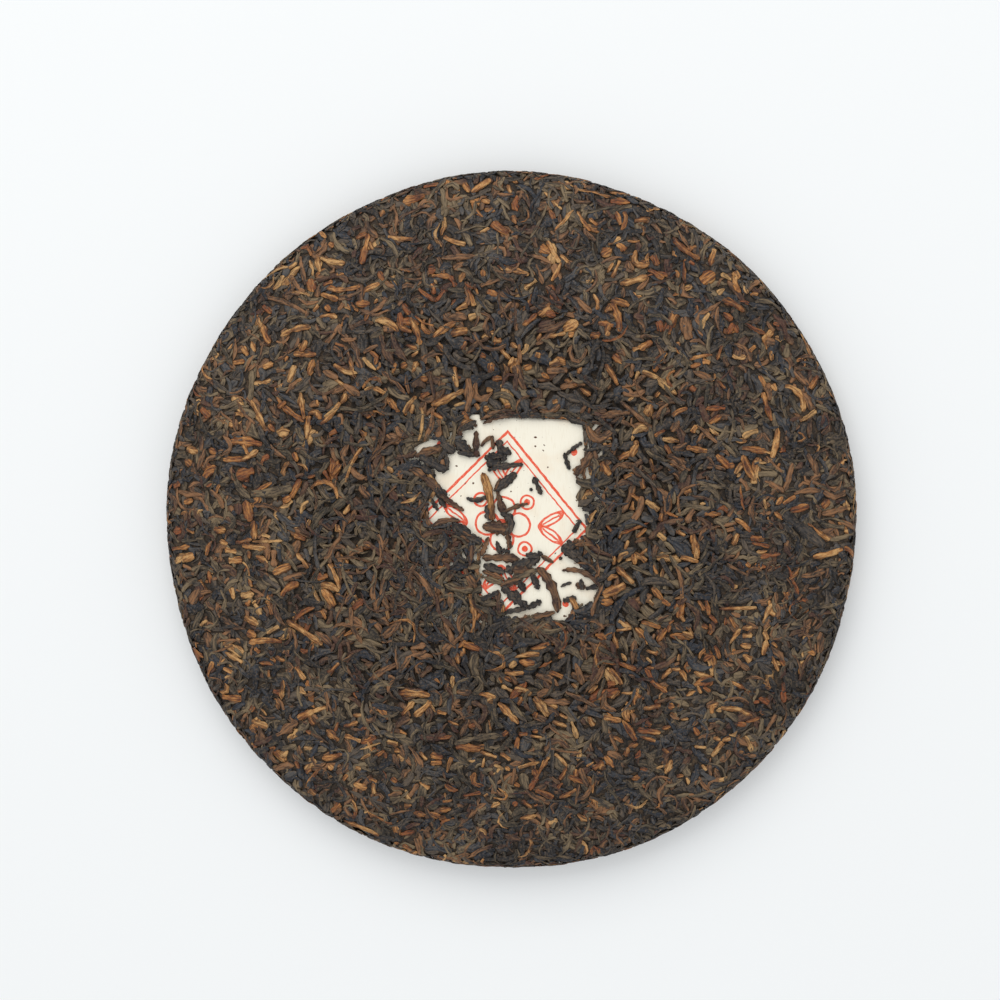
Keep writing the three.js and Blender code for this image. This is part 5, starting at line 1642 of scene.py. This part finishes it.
# The leaves on the ticket and across its edges, in the order they are laid: kind, both ends in millimetres
# from the middle of the outline in the view, width in millimetres, how far it bends in degrees, and how light
# it is within its kind.
TICKET_LEAVES = (
    ("brown", -8.4, 27.6, 0.5, 30.2, 1.3, -25, 0.3), ("charcoal", -1.5, 30.1, 9.7, 30.4, 1.5, 10, 0.4),
    ("olive", 8.3, 30.3, 17.5, 29.6, 1.4, -10, 0.2), ("charcoal", 15.7, 29.7, 22.6, 27.2, 1.3, 10, 0.5),
    ("charcoal", -26.4, 18.8, -18.6, 14.2, 2.9, 10, 0.3),
    ("charcoal", -20.3, 22.3, -16.3, 19.4, 2.6, 0, 0.25),
    ("charcoal", -16.3, 23.1, -12.2, 18.8, 2.9, -20, 0.3),
    ("charcoal", -18.9, 19.7, -18.3, 14.2, 1.4, 0, 0.2),
    ("charcoal", -26.1, 15.6, -22.1, 13.3, 2.3, 10, 0.3),
    ("brown", -26.4, 19.4, -20.3, 19.7, 1.2, -70, 0.6),
    ("brown", -25.5, 12.7, -20.6, 8.1, 2.6, -15, 0.4),
    ("charcoal", -21.8, 9.5, -18.9, 5.8, 2.3, 0, 0.25),
    ("brown", -20.6, 7.5, -13.7, 2.6, 1.4, 15, 0.3),
    ("charcoal", -23.5, 6.6, -21.2, 2.6, 1.4, 0, 0.2),
    ("charcoal", -20.9, 6.1, -18.9, 3.5, 1.4, 0, 0.3),
    ("brown", -22.6, -1.7, -14.8, -0.3, 1.7, -50, 0.4),
    ("charcoal", -17.1, -1.2, -11.9, -4.6, 2.6, -25, 0.3),
    ("charcoal", -13.1, -4.3, -8.5, -6.4, 2.3, 0, 0.25),
    ("charcoal", -3.8, 23.1, -2.1, 16.8, 2.9, 10, 0.35),
    ("charcoal", -3.3, 21.1, -0.1, 18.8, 2.0, 0, 0.3),
    ("charcoal", -7.9, 17.9, -2.4, 18.5, 2.3, 0, 0.3),
    ("brown", -8.8, 21.1, -5.6, 24.0, 1.4, -40, 0.35),
    ("brown", -5.6, 24.3, -5.3, 20.2, 1.2, 0, 0.3),
    ("charcoal", -7.3, 16.5, -3.0, 16.2, 2.9, 0, 0.3),
    ("charcoal", -7.0, 14.2, 3.4, 15.9, 1.7, -15, 0.4),
    ("charcoal", -15.7, 19.4, -9.0, 18.5, 1.4, 0, 0.2),
    ("brown", -10.2, 25.7, -9.9, 17.9, 1.7, 10, 0.15),
    ("golden", -14.8, 31.5, -10.2, 25.4, 2.0, 15, 0.2),
    ("brown", -9.0, 28.6, 0.8, 31.5, 1.2, -45, 0.6),
    ("charcoal", -13.1, 6.4, -6.7, 7.5, 1.3, 85, 0.45),
    ("charcoal", -7.0, 4.3, -6.4, -0.3, 2.0, 0, 0.3),
    ("brown", -4.1, 8.7, 0.2, -2.0, 2.0, 30, 0.25),
    ("brown", -2.4, 2.0, 4.8, 4.6, 1.3, -25, 0.55),
    ("charcoal", -5.0, 8.4, 1.4, 13.6, 2.3, 10, 0.4),
    ("brown", -5.0, 8.1, -3.3, 12.1, 0.9, 0, 0.4),
    ("brown", -8.5, -2.0, -0.1, -3.2, 3.5, -20, 0.3),
    ("charcoal", -3.3, 1.7, -2.1, -4.0, 2.0, -170, 0.6),
    ("brown", -1.2, -3.2, -0.4, -8.4, 1.7, 5, 0.3),
    ("charcoal", -4.4, -6.1, -3.0, -10.4, 1.3, 0, 0.5),
    ("brown", -6.7, -4.9, -8.8, -10.4, 1.4, -10, 0.35),
    ("charcoal", -3.3, -8.7, -0.4, -9.2, 1.4, 0, 0.3),
    ("golden", -8.5, 13.6, -5.6, -0.3, 2.2, -25, 0.4),
    ("brown", -8.5, -11.0, 2.5, -11.3, 2.3, -10, 0.35),
    ("charcoal", -8.2, -13.0, -1.8, -15.3, 2.3, 0, 0.3),
    ("charcoal", -1.8, -15.0, 5.4, -11.6, 2.9, 0, 0.35),
    ("brown", 0.2, -14.4, 6.0, -15.0, 2.6, 0, 0.3),
    ("charcoal", 4.2, -13.6, 8.6, -9.2, 2.6, 15, 0.3),
    ("charcoal", 4.0, -10.1, 8.3, -10.4, 1.7, 0, 0.3),
    ("olive", -2.4, -18.5, 7.7, -14.4, 2.3, -10, 0.3),
    ("brown", -8.5, -14.7, -2.1, -17.3, 1.4, -10, 0.4),
    ("olive", -8.8, -16.2, -2.4, -18.5, 1.4, 0, 0.4),
    ("brown", -3.3, -19.1, 3.4, -17.1, 1.7, 0, 0.45),
    ("charcoal", 5.7, -15.3, 7.7, -20.2, 2.0, -10, 0.3),
    ("charcoal", 2.2, -17.3, 3.7, -20.8, 1.7, 0, 0.3),
    ("charcoal", -2.7, -19.1, 4.5, -25.1, 2.6, 15, 0.35),
    ("charcoal", 1.1, -20.2, 3.1, -25.1, 1.7, 0, 0.25),
    ("brown", -4.1, -20.2, -3.3, -27.2, 1.7, 0, 0.25),
    ("charcoal", -8.8, -23.1, -3.8, -20.8, 1.7, 0, 0.3),
    ("charcoal", 4.5, -25.4, 8.6, -23.4, 2.0, 0, 0.3),
    ("charcoal", -1.8, -26.6, 4.8, -25.4, 1.4, 0, 0.25),
    ("brown", 6.0, -28.0, 12.6, -26.6, 1.7, 0, 0.3),
    ("brown", 7.4, -13.6, 13.2, -26.9, 2.6, -50, 0.25),
    ("brown", 8.6, -10.4, 12.1, -12.4, 1.3, 0, 0.35),
    ("charcoal", 13.8, -10.7, 14.4, -11.6, 1.0, 0, 0.3),
    ("charcoal", 14.7, -23.4, 18.7, -22.5, 1.7, 0, 0.25),
    ("golden", 17.0, -22.3, 19.0, -25.7, 1.7, 0, 0.4),
    ("brown", 14.4, -14.7, 25.9, -19.7, 1.4, -75, 0.35),
    ("charcoal", 14.1, -19.4, 17.3, -18.2, 1.0, -30, 0.3),
    ("brown", 18.4, -18.5, 21.3, -19.7, 1.7, 0, 0.15),
    ("charcoal", 19.9, -17.1, 20.4, -20.2, 1.4, 0, 0.25),
    ("charcoal", 21.3, -19.9, 24.8, -19.1, 1.4, 0, 0.3),
    ("charcoal", 20.4, 22.3, 15.5, 18.5, 1.4, 15, 0.3),
    ("charcoal", 15.2, 19.4, 16.7, 14.4, 1.3, 10, 0.3),
    ("charcoal", 17.8, -3.8, 19.9, 0.0, 2.0, -10, 0.35),
    ("charcoal", 14.4, -7.5, 19.0, -10.4, 3.2, 0, 0.35),
    ("charcoal", 16.1, -5.8, 18.1, -8.1, 1.7, 0, 0.3),
    ("charcoal", 17.0, -10.7, 19.6, -11.8, 1.4, 0, 0.3),
    ("charcoal", 6.3, 12.4, 8.6, 7.2, 1.7, 0, 0.3),
    ("charcoal", 5.5, 9.2, 5.7, 8.1, 0.9, 0, 0.2),
    ("charcoal", 7.4, 29.8, 8.6, 29.2, 0.5, -100, 0.2),
)


def lay_ticket_leaves(pile):
    """Lays the leaves round the ticket. They alone may lie in the map's closed part, the ticket's window."""
    for leaf in TICKET_LEAVES:
        pile.lay(
            leaf_between(pile.skin, *leaf, blunt=TICKET_LEAF_BLUNT, on_ticket=True), most_closed=1.0)


class TEA_OT_lay_ticket(bpy.types.Operator):
    """Makes the paper ticket"""

    bl_idname = "tea_cake.lay_ticket"
    bl_label = "Lay Ticket"
    bl_options = {"REGISTER", "UNDO"}

    def execute(self, context):
        cake, _, ticket, _ = settings()
        skin = both_skins(cake)[0]
        paper = ticket_sheet("paper_ticket", skin, ticket)
        paper.data.shade_smooth()
        paper.data.materials.append(paper_material(ticket))
        carried(paper, "inner_ticket")
        return {"FINISHED"}


# The stage

# The large lamp stands above the cake and behind it, and is warmer than the light from all round.
LAMP_PLACE = (-0.2, 1.0, 1.1)
LAMP_AIM = (0, 0, 0.01)
LAMP_SIZE = 1.2
LAMP_COLOUR = (1.0, 0.985, 0.96)
SKY_COLOUR = (0.97, 0.985, 1.0, 1.0)
GLOW_COLOUR = (0.98, 0.99, 1.0, 1.0)
FLOOR_SIZE = 6
SENSOR_WIDTH = 36


def area_light(name, place, aim, size, watts, colour):
    """Adds a square lamp that shines at a place."""
    light = bpy.data.lights.new(name, "AREA")
    light.shape = "SQUARE"
    light.size = size
    light.energy = watts
    light.color = colour
    lamp = bpy.data.objects.new(name, light)
    lamp.location = place
    lamp.rotation_euler = (Vector(aim) - Vector(place)).to_track_quat("-Z", "Y").to_euler()
    bpy.context.scene.collection.objects.link(lamp)


class TEA_OT_set_stage(bpy.types.Operator):
    """Adds the floor, the lights and the camera"""

    bl_idname = "tea_cake.set_stage"
    bl_label = "Set Stage"
    bl_options = {"REGISTER", "UNDO"}

    def execute(self, context):
        stage = settings()[3]
        scene = context.scene
        deselect()
        bpy.ops.mesh.primitive_plane_add(size=FLOOR_SIZE, location=(0, 0, 0))
        floor = context.object
        floor.name = "floor"
        material, _, shader = new_material("pale_floor")
        shader.inputs["Base Color"].default_value = (*stage.floor, 1.0)
        shader.inputs["Emission Color"].default_value = GLOW_COLOUR
        shader.inputs["Emission Strength"].default_value = stage.floor_glow
        shader.inputs["Roughness"].default_value = 0.9
        shader.inputs["Specular IOR Level"].default_value = 0.1
        floor.data.materials.append(material)

        world = bpy.data.worlds.new("even_light")
        scene.world = world
        world.use_nodes = True
        background = world.node_tree.nodes["Background"]
        background.inputs["Color"].default_value = SKY_COLOUR
        background.inputs["Strength"].default_value = stage.sky

        area_light("key_light", LAMP_PLACE, LAMP_AIM, LAMP_SIZE, stage.key_watts, LAMP_COLOUR)

        target, right, up, back = photo_view()
        lens = bpy.data.cameras.new("photo_camera")
        lens.sensor_width = SENSOR_WIDTH
        lens.lens = lens.sensor_width * stage.camera_distance / (PHOTO_PIXELS * PHOTO_PIXEL)
        camera = bpy.data.objects.new("photo_camera", lens)
        camera.matrix_world = Matrix.Translation(target + back * stage.camera_distance) @ Matrix(
            (right, up, back)).transposed().to_4x4()
        scene.collection.objects.link(camera)
        scene.camera = camera
        scene.view_settings.view_transform = "Standard"
        return {"FINISHED"}


class TEA_PT_panel(bpy.types.Panel):
    """The sizes, the looks and the steps, in order"""

    bl_idname = "TEA_PT_panel"
    bl_label = "Pressed Tea Cake"
    bl_space_type = "VIEW_3D"
    bl_region_type = "UI"
    bl_category = "Tea Cake"

    def draw(self, context):
        for group in settings():
            box = self.layout.box()
            box.label(text=group.bl_rna.description)
            for name in group.bl_rna.properties.keys():
                if name not in {"rna_type", "name"}:
                    box.prop(group, name)
        for step in STEPS:
            self.layout.operator(step.bl_idname)


GROUPS = (CakeSizes, LeafLooks, TicketLooks, StageLooks)
STEPS = (
    TEA_OT_press_core,
    TEA_OT_lay_face_leaves,
    TEA_OT_lay_back_leaves,
    TEA_OT_lay_ticket,
    TEA_OT_set_stage,
)


def register():
    """Makes the settings, the steps and the panel known to Blender."""
    for kind in GROUPS + STEPS + (TEA_PT_panel,):
        bpy.utils.register_class(kind)
    bpy.types.Scene.tea_cake = PointerProperty(type=CakeSizes)
    bpy.types.Scene.tea_leaves = PointerProperty(type=LeafLooks)
    bpy.types.Scene.tea_ticket = PointerProperty(type=TicketLooks)
    bpy.types.Scene.tea_stage = PointerProperty(type=StageLooks)


def unregister():
    """Takes them away again."""
    for name in ("tea_cake", "tea_leaves", "tea_ticket", "tea_stage"):
        delattr(bpy.types.Scene, name)
    for kind in reversed(GROUPS + STEPS + (TEA_PT_panel,)):
        bpy.utils.unregister_class(kind)


def main():
    """Builds the cake step by step."""
    register()
    bpy.ops.tea_cake.press_core()
    bpy.ops.tea_cake.lay_face_leaves()
    bpy.ops.tea_cake.lay_back_leaves()
    bpy.ops.tea_cake.lay_ticket()
    bpy.ops.tea_cake.set_stage()


if __name__ == "__main__":
    main()
